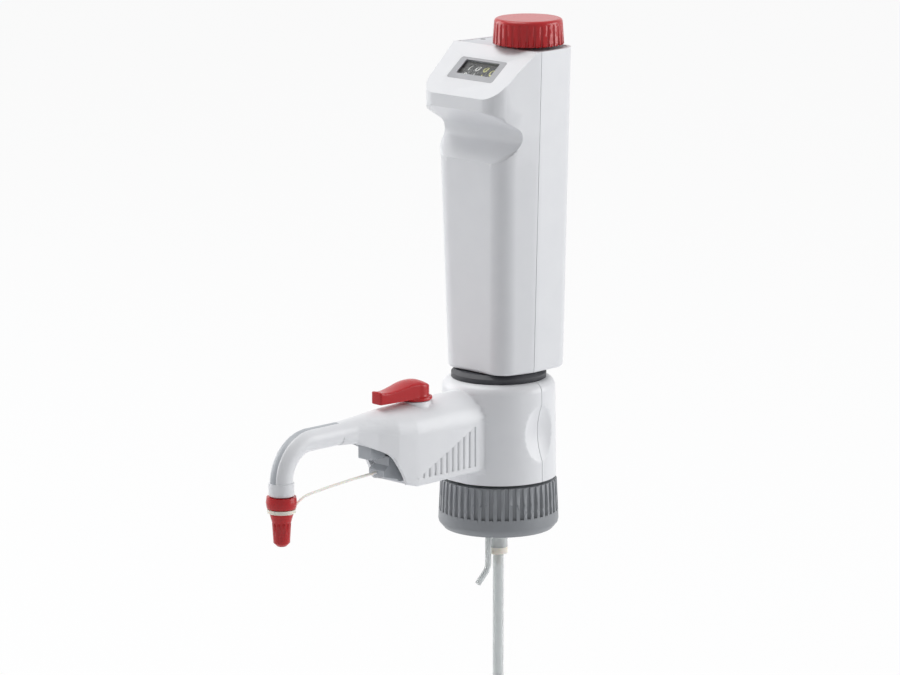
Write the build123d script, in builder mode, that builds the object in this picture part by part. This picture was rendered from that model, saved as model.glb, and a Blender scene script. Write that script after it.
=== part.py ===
from build123d import *
import os
from math import cos, hypot, pi, radians, sin, sqrt, tan, atan2, degrees

# Bottle-top dispenser, in millimetres. The origin is the centre of the bottle's rim, where the mouth seal
# sits. +Z is up, along the piston, and -Y is the front, where the spout points.

# Dosing: the stroke follows from the volume and the bore
nominal_volume = 10_000.0
least_volume = 1_000.0
piston_diameter = 14.4

# Clearances
push_fit = 0.02
running = 0.05
sliding = 0.1
loose = 0.3
seam_gap = 0.3

# Thread collar
thread_radius = 22.8
thread_depth = 15.2
thread_pitch = 4.0
thread_ridge = 0.8
collar_height = 22.2
collar_top_radius = 26.1
collar_bottom_radius = 26.9
collar_skirt_height = 3.7
collar_skirt_radius = 24.5
collar_roof = 3.0
collar_grooves = 48
collar_groove_width = 1.8
collar_groove_depth = 0.6

# Mouth seal
seal_thickness = 1.0
seal_width = 5.0

# Valve block and its covers
flange_thickness = 2.7
neck_radius = 17.7
core_radius = 14.5
channel_radius = 1.5
return_radius = 0.7
cover_gap = 1.5
cover_height = 44.7
cover_bottom_radius = 25.8
cover_top_radius = 25.2
cover_wall = 2.2
cover_rim_fillet = 4.5
cover_seam_y = 1.5
dimple_radius = 30.0
dimple_depth = 2.6
dimple_centre_z = 31.0
cover_screw_x = 18.4
vent_cap_radius = 3.4
vent_stem_radius = 2.4
vent_height = 9.0

# Screws, the same for the covers and the handle
screw_radius = 1.1
screw_head_radius = 1.9
screw_head_height = 1.6
boss_radius = 2.9

# Cylinder, sleeve and nut
glass_wall = 1.3
sleeve_gap = 0.2
sleeve_wall = 1.6
sleeve_flange_radius = 14.0
sleeve_flange_thickness = 1.8
cylinder_foot = 5.0
nut_radius = 21.2
nut_height = 3.8
nut_chamfer = 1.6
nut_spigot_radius = 19.3
stop_ring_height = 3.0
stop_lip_reach = 2.0
stop_lip_width = 7.0
key_width = 2.4
key_height = 1.2

# Piston
piston_head_height = 12.0
piston_rest_height = 1.5
piston_seal_height = 3.0
piston_seal_depth = 1.2
rod_radius = 4.0
rod_spigot_radius = 2.0
rod_spigot_length = 6.0

# Handle: half widths and depths
handle_gap = 0.3
handle_height = 143.6
handle_wall = 2.2
handle_bottom_half_width = 22.0
handle_top_half_width = 26.0
front_narrowing = 3.9
rear_narrowing = 1.5
body_bottom_front = 17.2
body_top_front = 20.6
handle_rear = 24.2
handle_corner = 8.0
body_front_corner = 9.5
handle_bottom_fillet = 1.6
handle_side_radius = 20.0
head_front = 27.0
head_half_width = 22.8
head_corner = 9.0
face_slope = 38.1
face_edge_y = -2.6
scoop_top_z = 176.0
scoop_apex_z = 164.5
scoop_apex_y = -6.3
scoop_bottom_z = 152.5
scoop_radius = 5.0
waist_z = 150.0
ledge_reach = 1.0
ledge_thickness = 1.2
top_plate_thickness = 2.6
top_plate_margin = 1.6
top_plate_recess = 0.2
adjust_plug_radius = 1.2
adjust_plug_x = -21.4
adjust_plug_y = 11.5
housing_boss_x = 16.0
housing_boss_low_z = 82.0
housing_boss_high_z = 147.0

# Display
window_length = 28.0
window_height = 13.0
window_corner = 1.2
window_drop = 14.5
window_ledge = 1.0
bezel_thickness = 1.5
view_length = 20.6
view_height = 8.4
view_offset = 0.9
lens_thickness = 0.8
lens_overlap = 0.8
drum_radius = 8.0
drum_pitch = 4.8
drum_gap = 0.3
drum_shaft_radius = 1.2
drum_cover_gap = 0.3

# Knob, volume spindle and counter gears
knob_x = 9.0
knob_y = 9.0
knob_bottom_radius = 15.7
knob_top_radius = 15.0
knob_height = 11.2
knob_gap = 1.4
knob_flutes = 30
knob_flute_radius = 0.75
knob_rim_fillet = 1.6
knob_roof = 2.6
knob_skirt = 2.6
knob_hub_radius = 5.5
knob_shaft_radius = 3.0
spindle_x = -7.8
spindle_y = 13.2
spindle_radius = 2.5
journal_radius = 1.9
carriage_radius = 4.4
carriage_height = 10.0
carriage_tab_width = 4.2
rib_thickness = 1.2
rib_depth = 3.2
gear_thickness = 3.5
drive_teeth = 25
spindle_teeth = 18
crown_teeth = 24
crown_radius = 7.0
crown_disc = 1.6
crown_tooth_height = 0.8
pinion_teeth = 8
pinion_width = 2.4
lay_shaft_y = 9.0
lay_teeth = 35
drum_teeth = 21
counter_gear_x = -18.2
counter_gear_width = 2.4
tooth_share = 0.38
cheek_inner_x = 19.9
cheek_thickness = 1.6
deck_thickness = 2.4
guide_thickness = 4.0
clamp_drop = 33.4
clamp_thickness = 4.0
clamp_front_y = -6.0

# Arm, spout and discharge parts
arm_half_width = 13.0
arm_bottom_z = 15.2
arm_top_z = 50.3
arm_wall = 1.7
arm_corner = 1.5
arm_root_y = -25.3
arm_floor_front_y = -63.5
arm_cavity_front_y = -86.0
spout_z = 42.5
spout_radius = 5.0
spout_bend_radius = 16.2
spout_reach = 132.6
spout_start_y = -98.0
spout_tip_z = 20.5
nozzle_radius = 5.55
nozzle_height = 5.7
nozzle_wall = 1.3
tube_outer = 2.4
tube_inner = 1.2
tube_end_z = 7.0
grip_grooves = 11
grip_width = 1.3
grip_depth = 0.5
grip_pitch = 3.45
grip_first_y = -28.0
inset_width = 3.2
inset_depth = 0.6
inset_start_y = -97.0

# Discharge valve in the outlet branch
branch_radius = 5.6
valve_bore_radius = 3.4
valve_bore_length = 12.0
ball_radius = 1.75
ball_seat_radius = 1.2
discharge_lift = 0.6
spring_radius = 2.1
spring_wire = 0.35
spring_pitch = 1.45

# Lever and its valve
valve_y = -52.5
plug_radius = 4.0
valve_body_radius = 6.6
valve_body_bottom_z = 34.0
valve_shoulder_z = 45.2
valve_neck_radius = 5.0
valve_stub_radius = 4.2
valve_floor = 2.0
valve_nose_y = -61.0
boss_top_z = 50.3
lever_boss_radius = 7.0
disc_radius = 7.8
disc_thickness = 1.6
disc_gap = 0.3
lever_spigot_radius = 2.2
lever_spigot_height = 4.0
lever_hub_radius = 6.4
lever_tip_half_width = 3.0
lever_reach = 26.0
lever_top_z = 60.4
lever_tip_top_z = 57.5
union_nut_radius = 5.0
union_nut_length = 7.5
plug_seal_height = 1.4

# Closure cap and strap
cap_top_z = 20.2
cap_flange_radius = 6.7
cap_flange_bottom_z = 15.2
cap_body_radius = 5.6
cap_loop_groove_radius = 4.8
cap_waist_radius = 4.1
cap_waist_z = 8.8
cap_tip_radius = 3.6
cap_tip_z = -1.6
cap_flutes = 12
loop_width = 1.3
loop_height = 1.6
loop_bottom_z = 13.2
strap_radius = 0.6

# Pieces in the arm's open underside
holder_half_width = 4.6
clip_half_width = 4.0

# Filling side
filling_tube_outer = 2.45
filling_tube_bore = 1.7
filling_valve_radius = 4.15
filling_valve_bottom_z = -25.0
filling_seat_thickness = 3.0
filling_stem_radius = 3.0
filling_stem_height = 5.9
cage_radius = 2.4
cage_height = 4.5
nozzle_length = 5.0
upper_tube_bottom_z = -125.0
lower_tube_top_z = -85.0
lower_tube_bottom_z = -195.0
lower_tube_wall = 0.6
recirculation_radius = 1.4
recirculation_bore = 0.8
recirculation_y = -6.4

os.makedirs("parts", exist_ok=True)

# Places that follow from the sizes above
collar_top_z = collar_height - thread_depth
collar_bottom_z = -thread_depth
roof_bottom_z = collar_top_z - collar_roof
flange_radius = thread_radius - thread_ridge - loose
cover_bottom_z = collar_top_z + cover_gap
cover_top_z = cover_bottom_z + cover_height
block_top_z = cover_top_z - cover_wall
cylinder_seat_z = block_top_z - cylinder_foot
bore_radius = piston_diameter / 2 + running
glass_radius = bore_radius + glass_wall
sleeve_inner = glass_radius + sleeve_gap
sleeve_radius = sleeve_inner + sleeve_wall
stroke = nominal_volume / (pi * bore_radius**2)
setting_travel = stroke * (1 - least_volume / nominal_volume)
piston_bottom_z = cylinder_seat_z + piston_rest_height
piston_top_z = piston_bottom_z + piston_head_height
cylinder_top_z = piston_top_z + stroke + 2 * loose
nut_top_z = cover_top_z + nut_height
handle_bottom_z = nut_top_z + handle_gap
handle_top_z = handle_bottom_z + handle_height
clamp_z = handle_top_z - clamp_drop
guide_bottom_z = handle_bottom_z + 2.5
guide_top_z = guide_bottom_z + guide_thickness
carriage_bottom_z = guide_top_z + loose
carriage_top_z = carriage_bottom_z + carriage_height
stop_ring_bottom_z = carriage_top_z + stroke + sliding
sleeve_top_z = stop_ring_bottom_z + stop_ring_height
knob_bottom_z = handle_top_z + knob_gap
knob_top_z = knob_bottom_z + knob_height
knob_distance = hypot(knob_x - spindle_x, knob_y - spindle_y)
drive_pitch_radius = knob_distance * drive_teeth / (drive_teeth + spindle_teeth)
spindle_pitch_radius = knob_distance - drive_pitch_radius
spindle_angle = degrees(atan2(spindle_y, spindle_x))
mesh_angle = degrees(atan2(spindle_y - knob_y, spindle_x - knob_x))
pinion_pitch_radius = crown_radius * pinion_teeth / crown_teeth

# The display face slopes down to the front through the top plate's front edge
slope = radians(face_slope)
window_y = face_edge_y - window_drop * cos(slope)
window_z = handle_top_z - window_drop * sin(slope)
view_y = window_y + view_offset * cos(slope)
view_z = window_z + view_offset * sin(slope)
drum_depth = handle_wall + drum_cover_gap + drum_radius
drum_y = view_y + sin(slope) * drum_depth
drum_z = view_z - cos(slope) * drum_depth
lay_distance = lay_shaft_y - drum_y
lay_pitch_radius = lay_distance * lay_teeth / (lay_teeth + drum_teeth)
drum_pitch_radius = lay_distance - lay_pitch_radius
plate_bottom_z = handle_top_z - top_plate_recess - top_plate_thickness
deck_bottom_z = plate_bottom_z - sliding - deck_thickness
drive_gear_z = deck_bottom_z - loose - gear_thickness
crown_z = drum_z + pinion_pitch_radius + 0.6
shaft_half_length = cheek_inner_x + cheek_thickness - 0.2
branch_end_y = valve_y + valve_body_radius + 1.8
valve_bore_y = branch_end_y + valve_bore_length
ball_height = sqrt(ball_radius**2 - ball_seat_radius**2)


def body_half(middle):
    """Half width at the body's front corner, for a half width at the seam."""
    return middle - front_narrowing


def full_half(middle, front):
    """Half width where the head's side passes the body's front."""
    return head_half_width + (middle - head_half_width) * (head_front - front) / head_front


def seam_half(z):
    share = (z - handle_bottom_z) / handle_height
    return handle_bottom_half_width + (handle_top_half_width - handle_bottom_half_width) * share


def body_front(z):
    share = (z - handle_bottom_z) / handle_height
    return body_bottom_front + (body_top_front - body_bottom_front) * share


def handle_section(z, inset, front, front_half, corner):
    """Plan outline of the handle at one height, moved inwards by inset."""
    middle = seam_half(z)
    back = middle - rear_narrowing
    rear = handle_rear - inset
    with BuildSketch(Plane.XY.offset(z)) as outline:
        with BuildLine():
            FilletPolyline(
                (-front_half + inset, -front + inset),
                (front_half - inset, -front + inset),
                (middle - inset, 0),
                (back - inset, rear),
                (-back + inset, rear),
                (-middle + inset, 0),
                radius=[corner - inset, corner - inset, handle_side_radius - inset,
                        handle_corner - inset, handle_corner - inset, handle_side_radius - inset],
                close=True,
            )
        make_face()
    return outline.sketch


def body_section(z, inset):
    """Outline of the handle below the head, which widens towards the head's sides above the waist."""
    front = body_front(z)
    thin = body_half(seam_half(z))
    wide = full_half(seam_half(z), front)
    share = min(max((z - waist_z) / (scoop_apex_z - waist_z), 0), 1)
    return handle_section(z, inset, front, thin + (wide - thin) * share, body_front_corner)


def head_section(z, inset):
    return handle_section(z, inset, head_front, head_half_width, head_corner)


def handle_solid(inset, bottom_z, top_z):
    """The handle's body and head as one solid, with the scoop and the display face cut, moved inwards."""
    with BuildPart() as solid:
        for low_z, high_z in ((bottom_z, waist_z), (waist_z, scoop_apex_z)):
            add(body_section(low_z, inset))
            add(body_section(high_z, inset))
            loft()
        add(head_section(scoop_apex_z, inset))
        add(head_section(top_z, inset))
        loft()
        with BuildSketch(Plane.YZ):
            with BuildLine():
                lower = (-body_front(scoop_bottom_z), scoop_bottom_z)
                far_bottom = (-60, scoop_bottom_z - 26)
                far_top = (-60, scoop_top_z + 14)
                FilletPolyline(
                    far_bottom,
                    lower,
                    (scoop_apex_y, scoop_apex_z),
                    (-head_front, scoop_top_z),
                    far_top,
                    radius=[0.5, scoop_radius, 0.5],
                )
                Line(far_top, far_bottom)
            make_face()
            if inset > 0:
                offset(amount=inset)
        extrude(amount=60, both=True, mode=Mode.SUBTRACT)
        edge_z = handle_top_z - inset / cos(slope)
        with BuildSketch(Plane.YZ):
            with BuildLine():
                Polyline(
                    (face_edge_y + 20, edge_z + 20 * tan(slope)),
                    (face_edge_y - 60, edge_z - 60 * tan(slope)),
                    (face_edge_y - 60, edge_z + 60),
                    (face_edge_y + 20, edge_z + 60),
                    close=True,
                )
            make_face()
        extrude(amount=60, both=True, mode=Mode.SUBTRACT)
        if inset == 0:
            fillet(solid.edges().group_by(Axis.Z)[0], handle_bottom_fillet)
    return solid.part


def gear_outline(pitch_radius, teeth, bore, phase):
    """A gear's flat outline: a hub circle with short straight teeth, and its bore."""
    module = 2 * pitch_radius / teeth
    root = pitch_radius - 0.75 * module
    reach = pitch_radius + 0.5 * module - root + 0.2
    thick = 2 * pi * pitch_radius / teeth * tooth_share
    with BuildSketch() as outline:
        Circle(root)
        with PolarLocations(root - 0.2, teeth, start_angle=phase):
            Polygon(
                (0, -thick * 0.65), (reach, -thick * 0.3), (reach, thick * 0.3), (0, thick * 0.65),
                align=None,
            )
        if bore > 0:
            Circle(bore, mode=Mode.SUBTRACT)
    return outline.sketch


def across(x, y, z):
    """A plane square to X, for pieces that turn on an axis along X."""
    return Plane(origin=(x, y, z), x_dir=(0, 1, 0), z_dir=(1, 0, 0))


def arch_outline(half_width, bottom, top, corner):
    """Upright section of the arm: flat below, round above."""
    spring = top - half_width
    rest = corner * (1 - sqrt(0.5))
    with BuildSketch() as section:
        with BuildLine():
            Line((-half_width + corner, bottom), (half_width - corner, bottom))
            ThreePointArc((half_width - corner, bottom), (half_width - rest, bottom + rest),
                          (half_width, bottom + corner))
            Line((half_width, bottom + corner), (half_width, spring))
            ThreePointArc((half_width, spring), (0, top), (-half_width, spring))
            Line((-half_width, spring), (-half_width, bottom + corner))
            ThreePointArc((-half_width, bottom + corner), (-half_width + rest, bottom + rest),
                          (-half_width + corner, bottom))
        make_face()
    return section.sketch


def cover_blank(inset):
    """Turned body of the covers with the two finger dimples, moved inwards by inset."""
    with BuildPart() as blank:
        with BuildSketch(Plane.XZ):
            with BuildLine():
                Polyline(
                    (0, cover_bottom_z + inset),
                    (cover_bottom_radius - inset, cover_bottom_z + inset),
                    (cover_top_radius - inset, cover_top_z - inset),
                    (0, cover_top_z - inset),
                    close=True,
                )
            make_face()
        revolve(axis=Axis.Z)
        rims = blank.edges().filter_by(GeomType.CIRCLE).group_by(Axis.Z)
        fillet(rims[-1], cover_rim_fillet - inset)
        centre_x = cover_top_radius - dimple_depth + dimple_radius
        with Locations((centre_x, cover_seam_y, dimple_centre_z), (-centre_x, cover_seam_y, dimple_centre_z)):
            Sphere(dimple_radius + inset, mode=Mode.SUBTRACT)
    return blank.part


# Thread collar: a ribbed ring with a roof that turns on the block's neck, and thread ridges inside
with BuildPart() as thread_collar:
    skirt_top_z = collar_bottom_z + collar_skirt_height
    with BuildSketch(Plane.XZ):
        with BuildLine():
            Polyline(
                (thread_radius, collar_bottom_z),
                (collar_skirt_radius, collar_bottom_z),
                (collar_bottom_radius - 0.3, skirt_top_z - 1.2),
                (collar_bottom_radius, skirt_top_z),
                (collar_top_radius, collar_top_z - 0.6),
                (collar_top_radius - 0.6, collar_top_z),
                (neck_radius + loose, collar_top_z),
                (neck_radius + loose, roof_bottom_z),
                (thread_radius, roof_bottom_z),
                close=True,
            )
        make_face()
        with BuildLine():
            Polyline(
                (thread_radius + 0.5, 0),
                (thread_radius - thread_ridge, 0),
                (thread_radius - thread_ridge, roof_bottom_z),
                (thread_radius + 0.5, roof_bottom_z),
                close=True,
            )
        make_face()
        for ridge in range(1, 4):
            ridge_z = -ridge * thread_pitch + 1
            with BuildLine():
                Polyline(
                    (thread_radius + 0.5, ridge_z - 1.2),
                    (thread_radius - thread_ridge, ridge_z - 0.3),
                    (thread_radius - thread_ridge, ridge_z + 0.3),
                    (thread_radius + 0.5, ridge_z + 1.2),
                    close=True,
                )
            make_face()
    revolve(axis=Axis.Z)
    groove_height = collar_top_z - skirt_top_z
    with Locations((0, 0, skirt_top_z + groove_height / 2 + 0.6)):
        with PolarLocations(collar_top_radius, collar_grooves):
            Box(collar_groove_depth * 2, collar_groove_width, groove_height, mode=Mode.SUBTRACT)
thread_collar.part.label = "thread_collar"

# Mouth seal under the block's flange
with BuildPart() as mouth_seal:
    with BuildSketch():
        Circle(flange_radius)
        Circle(flange_radius - seal_width, mode=Mode.SUBTRACT)
    extrude(amount=seal_thickness)
mouth_seal.part.label = "mouth_seal"

# Valve block: flange under the collar's roof, neck, core, cylinder seat, outlet branch and channels
neck_top_z = cover_bottom_z + cover_wall - 0.2
filling_socket_z = seal_thickness + filling_stem_height
with BuildPart() as valve_block:
    with BuildSketch(Plane.XZ):
        with BuildLine():
            Polyline(
                (0, seal_thickness),
                (flange_radius, seal_thickness),
                (flange_radius, seal_thickness + flange_thickness),
                (neck_radius, seal_thickness + flange_thickness),
                (neck_radius, neck_top_z),
                (core_radius, neck_top_z),
                (core_radius, cylinder_seat_z - 6),
                (nut_spigot_radius, cylinder_seat_z - 1),
                (nut_spigot_radius, block_top_z),
                (0, block_top_z),
                close=True,
            )
        make_face()
    revolve(axis=Axis.Z)
    with BuildSketch(Plane.XZ.offset(core_radius - 2)):
        with Locations((0, spout_z)):
            Circle(branch_radius)
    extrude(amount=-branch_end_y - core_radius + 2)
    with BuildSketch(Plane.XY.offset(cylinder_seat_z)):
        Circle(glass_radius + sliding)
    extrude(amount=cylinder_foot + 1, mode=Mode.SUBTRACT)
    with BuildSketch():
        Circle(channel_radius)
    extrude(amount=cylinder_seat_z + 1, mode=Mode.SUBTRACT)
    with BuildSketch():
        Circle(filling_stem_radius + running)
    extrude(amount=filling_socket_z + sliding, mode=Mode.SUBTRACT)
    with BuildSketch(Plane.XZ):
        with Locations((0, spout_z)):
            Circle(channel_radius)
    extrude(amount=-branch_end_y + 1, mode=Mode.SUBTRACT)
    with BuildSketch(Plane.XZ.offset(-valve_bore_y)):
        with Locations((0, spout_z)):
            Circle(valve_bore_radius)
    extrude(amount=valve_bore_length + 1, mode=Mode.SUBTRACT)
    return_z = spout_z - branch_radius + 1.1
    with BuildSketch(Plane.XY):
        with Locations((0, recirculation_y)):
            Circle(return_radius)
    extrude(amount=return_z, mode=Mode.SUBTRACT)
    with BuildSketch(Plane.XY):
        with Locations((0, recirculation_y)):
            Circle(recirculation_radius + running)
    extrude(amount=filling_socket_z + 2, mode=Mode.SUBTRACT)
    with BuildSketch(Plane.XZ.offset(-recirculation_y)):
        with Locations((0, return_z)):
            Circle(return_radius)
    extrude(amount=-branch_end_y, mode=Mode.SUBTRACT)
    with BuildSketch(Plane.XY):
        with Locations((0, core_radius - 5)):
            Circle(return_radius)
    extrude(amount=cover_bottom_z + vent_height, mode=Mode.SUBTRACT)
    with BuildSketch(Plane.XZ.offset(-core_radius + 5)):
        with Locations((0, cover_bottom_z + vent_height)):
            Circle(return_radius)
    extrude(amount=-10, mode=Mode.SUBTRACT)
valve_block.part.label = "valve_block"

# Pad on the front cover, which the arm stands on
with BuildPart() as arm_pad:
    with BuildSketch(Plane.XZ.offset(core_radius)):
        add(arch_outline(arm_half_width, arm_bottom_z, arm_top_z, arm_corner))
    extrude(amount=-arm_root_y - core_radius)

# Covers of the valve block: one turned shell split by the seam, joined by two screws from the rear
cover_screw_z = cover_bottom_z + cover_wall + boss_radius
cover_head_y = 12.0
cover_screw_tip_y = -9.0
cover_solids = {}
for cover_name, cover_side in (("block_front_cover", -1), ("block_rear_cover", 1)):
    with BuildPart() as cover:
        add(cover_blank(0))
        if cover_side < 0:
            with BuildSketch(Plane.XZ.offset(-arm_root_y)):
                with Locations((0, arm_bottom_z + 20)):
                    Rectangle(2 * arm_half_width, 60)
            extrude(amount=3, mode=Mode.SUBTRACT)
            add(arm_pad.part)
        add(cover_blank(cover_wall), mode=Mode.SUBTRACT)
        with Locations((cover_screw_x, 0, cover_screw_z), (-cover_screw_x, 0, cover_screw_z)):
            Cylinder(boss_radius, 28, rotation=(90, 0, 0))
        with Locations((0, 0, cover_top_z)):
            Cylinder(nut_spigot_radius + loose, 3 * cover_wall, mode=Mode.SUBTRACT)
        with Locations((0, 0, cover_bottom_z)):
            Cylinder(neck_radius + loose, 3 * cover_wall, mode=Mode.SUBTRACT)
        for screw_side in (-cover_screw_x, cover_screw_x):
            with BuildSketch(Plane.XZ.offset(-cover_screw_tip_y + 1)):
                with Locations((screw_side, cover_screw_z)):
                    Circle(screw_radius + running)
            extrude(amount=-40, mode=Mode.SUBTRACT)
            with BuildSketch(Plane.XZ.offset(-cover_head_y)):
                with Locations((screw_side, cover_screw_z)):
                    Circle(screw_head_radius + sliding)
            extrude(amount=-20, mode=Mode.SUBTRACT)
        if cover_side < 0:
            with BuildSketch(Plane.XZ.offset(core_radius)):
                with Locations((0, spout_z)):
                    Circle(branch_radius + loose)
            extrude(amount=20, mode=Mode.SUBTRACT)
        with Locations((0, cover_seam_y - cover_side * 50, 30)):
            Box(120, 100 + seam_gap, 100, mode=Mode.SUBTRACT)
        if cover_side > 0:
            with BuildSketch(Plane.XZ.offset(-core_radius - 5)):
                with Locations((0, cover_bottom_z + vent_height)):
                    Circle(vent_stem_radius + sliding)
            extrude(amount=-10, mode=Mode.SUBTRACT)
    cover.part.label = cover_name
    cover_solids[cover_name] = cover.part

# Screws of the covers
with BuildPart() as cover_screws:
    for screw_side in (-cover_screw_x, cover_screw_x):
        with BuildSketch(Plane.XZ.offset(-cover_head_y)):
            with Locations((screw_side, cover_screw_z)):
                Circle(screw_head_radius)
        extrude(amount=-screw_head_height)
        with BuildSketch(Plane.XZ.offset(-cover_head_y)):
            with Locations((screw_side, cover_screw_z)):
                Circle(screw_radius)
        extrude(amount=cover_head_y - cover_screw_tip_y)
cover_screws.part.label = "cover_screws"

# Vent cap on the rear cover
vent_head_y = cover_bottom_radius
with BuildPart() as vent_cap:
    with BuildSketch(Plane.XZ.offset(-core_radius - sliding)):
        with Locations((0, cover_bottom_z + vent_height)):
            Circle(vent_stem_radius)
            Circle(return_radius, mode=Mode.SUBTRACT)
    extrude(amount=-(vent_head_y - core_radius))
    with BuildSketch(Plane.XZ.offset(-vent_head_y)):
        with Locations((0, cover_bottom_z + vent_height)):
            Circle(vent_cap_radius)
    extrude(amount=-1.8)
    fillet(vent_cap.faces().sort_by(Axis.Y)[-1].edges(), 0.6)
vent_cap.part.label = "vent_cap"

# Glass cylinder, its sleeve with the guide key, and the nut that clamps the sleeve's flange
with BuildPart() as glass_cylinder:
    with BuildSketch(Plane.XY.offset(cylinder_seat_z)):
        Circle(glass_radius)
        Circle(bore_radius, mode=Mode.SUBTRACT)
    extrude(amount=cylinder_top_z - cylinder_seat_z)
glass_cylinder.part.label = "glass_cylinder"

sleeve_rim_radius = sleeve_radius - 0.8
with BuildPart() as cylinder_sleeve:
    with BuildSketch(Plane.XY.offset(block_top_z)):
        Circle(sleeve_radius)
    extrude(amount=stop_ring_bottom_z - block_top_z)
    with BuildSketch(Plane.XY.offset(stop_ring_bottom_z)):
        Circle(sleeve_rim_radius)
    extrude(amount=stop_ring_height)
    with BuildSketch(Plane.XY.offset(block_top_z)):
        Circle(sleeve_flange_radius)
    extrude(amount=sleeve_flange_thickness)
    key_bottom_z = guide_bottom_z - 1
    with BuildSketch(Plane.XY.offset(key_bottom_z)):
        with Locations((0, -sleeve_radius)):
            Rectangle(key_width, 2 * key_height)
    extrude(amount=stop_ring_bottom_z - key_bottom_z)
    with BuildSketch(Plane.XY.offset(block_top_z - 1)):
        Circle(sleeve_inner)
    extrude(amount=sleeve_top_z - block_top_z + 2, mode=Mode.SUBTRACT)
cylinder_sleeve.part.label = "cylinder_sleeve"

with BuildPart() as stop_ring:
    with BuildSketch(Plane.XY.offset(stop_ring_bottom_z)):
        Circle(sleeve_radius)
        with PolarLocations(sleeve_radius, 1, start_angle=spindle_angle):
            Rectangle(2 * stop_lip_reach, stop_lip_width)
        Circle(sleeve_rim_radius + push_fit, mode=Mode.SUBTRACT)
    extrude(amount=stop_ring_height)
stop_ring.part.label = "stop_ring"

nut_bore_radius = sleeve_radius + stop_lip_reach + loose
with BuildPart() as cylinder_nut:
    with BuildSketch(Plane.XZ):
        with BuildLine():
            Polyline(
                (sleeve_flange_radius + running, block_top_z),
                (nut_spigot_radius, block_top_z),
                (nut_spigot_radius, cover_top_z),
                (nut_radius, cover_top_z),
                (nut_radius, nut_top_z - nut_chamfer),
                (nut_radius - nut_chamfer, nut_top_z),
                (nut_bore_radius, nut_top_z),
                (nut_bore_radius, block_top_z + sleeve_flange_thickness),
                (sleeve_flange_radius + running, block_top_z + sleeve_flange_thickness),
                close=True,
            )
        make_face()
    revolve(axis=Axis.Z)
cylinder_nut.part.label = "cylinder_nut"

# Piston, seal and rod
seal_bottom_z = piston_bottom_z + 3
piston_radius = piston_diameter / 2
groove_radius = piston_radius - piston_seal_depth
with BuildPart() as piston:
    with BuildSketch(Plane.XZ):
        with BuildLine():
            Polyline(
                (0, piston_bottom_z),
                (piston_radius - 0.6, piston_bottom_z),
                (piston_radius, piston_bottom_z + 0.6),
                (piston_radius, seal_bottom_z),
                (groove_radius, seal_bottom_z),
                (groove_radius, seal_bottom_z + piston_seal_height),
                (piston_radius, seal_bottom_z + piston_seal_height),
                (piston_radius, piston_top_z),
                (rod_spigot_radius + push_fit, piston_top_z),
                (rod_spigot_radius + push_fit, piston_top_z - rod_spigot_length - push_fit),
                (0, piston_top_z - rod_spigot_length - push_fit),
                close=True,
            )
        make_face()
    revolve(axis=Axis.Z)
piston.part.label = "piston"

with BuildPart() as piston_seal:
    with BuildSketch(Plane.XY.offset(seal_bottom_z + push_fit)):
        Circle(piston_radius + 0.02)
        Circle(groove_radius + push_fit, mode=Mode.SUBTRACT)
    extrude(amount=piston_seal_height - 2 * push_fit)
piston_seal.part.label = "piston_seal"

rod_top_z = clamp_z + clamp_thickness + 2.5
with BuildPart() as piston_rod:
    with BuildSketch(Plane.XY.offset(piston_top_z)):
        Circle(rod_radius)
    extrude(amount=rod_top_z - piston_top_z)
    with BuildSketch(Plane.XY.offset(piston_top_z - rod_spigot_length)):
        Circle(rod_spigot_radius)
    extrude(amount=rod_spigot_length)
    chamfer(piston_rod.faces().sort_by(Axis.Z)[-1].edges(), 0.6)
piston_rod.part.label = "piston_rod"

# Housings of the handle: one shell with ledges for the plates inside, split by the seam
bush_ledges = (guide_bottom_z - ledge_thickness, guide_top_z + sliding)
clamp_ledges = (clamp_z - ledge_thickness, clamp_z + clamp_thickness + sliding)
deck_ledge = deck_bottom_z - ledge_thickness
boss_places = [
    (x, z)
    for x in (-housing_boss_x, housing_boss_x)
    for z in (housing_boss_low_z, housing_boss_high_z)
]
with BuildPart() as handle_void:
    add(handle_solid(handle_wall, handle_bottom_z - 1, handle_top_z + 1))
    for ledge_z in (*bush_ledges, *clamp_ledges, deck_ledge):
        section = head_section if ledge_z > scoop_apex_z else body_section
        with BuildSketch(Plane.XY.offset(ledge_z)):
            Rectangle(100, 100)
            add(section(ledge_z, handle_wall + ledge_reach), mode=Mode.SUBTRACT)
        extrude(amount=ledge_thickness, mode=Mode.SUBTRACT)
    for boss_x, boss_z in boss_places:
        with BuildSketch(Plane.XZ.offset(40)):
            with Locations((boss_x, boss_z)):
                Circle(boss_radius)
        extrude(amount=-80, mode=Mode.SUBTRACT)

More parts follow.
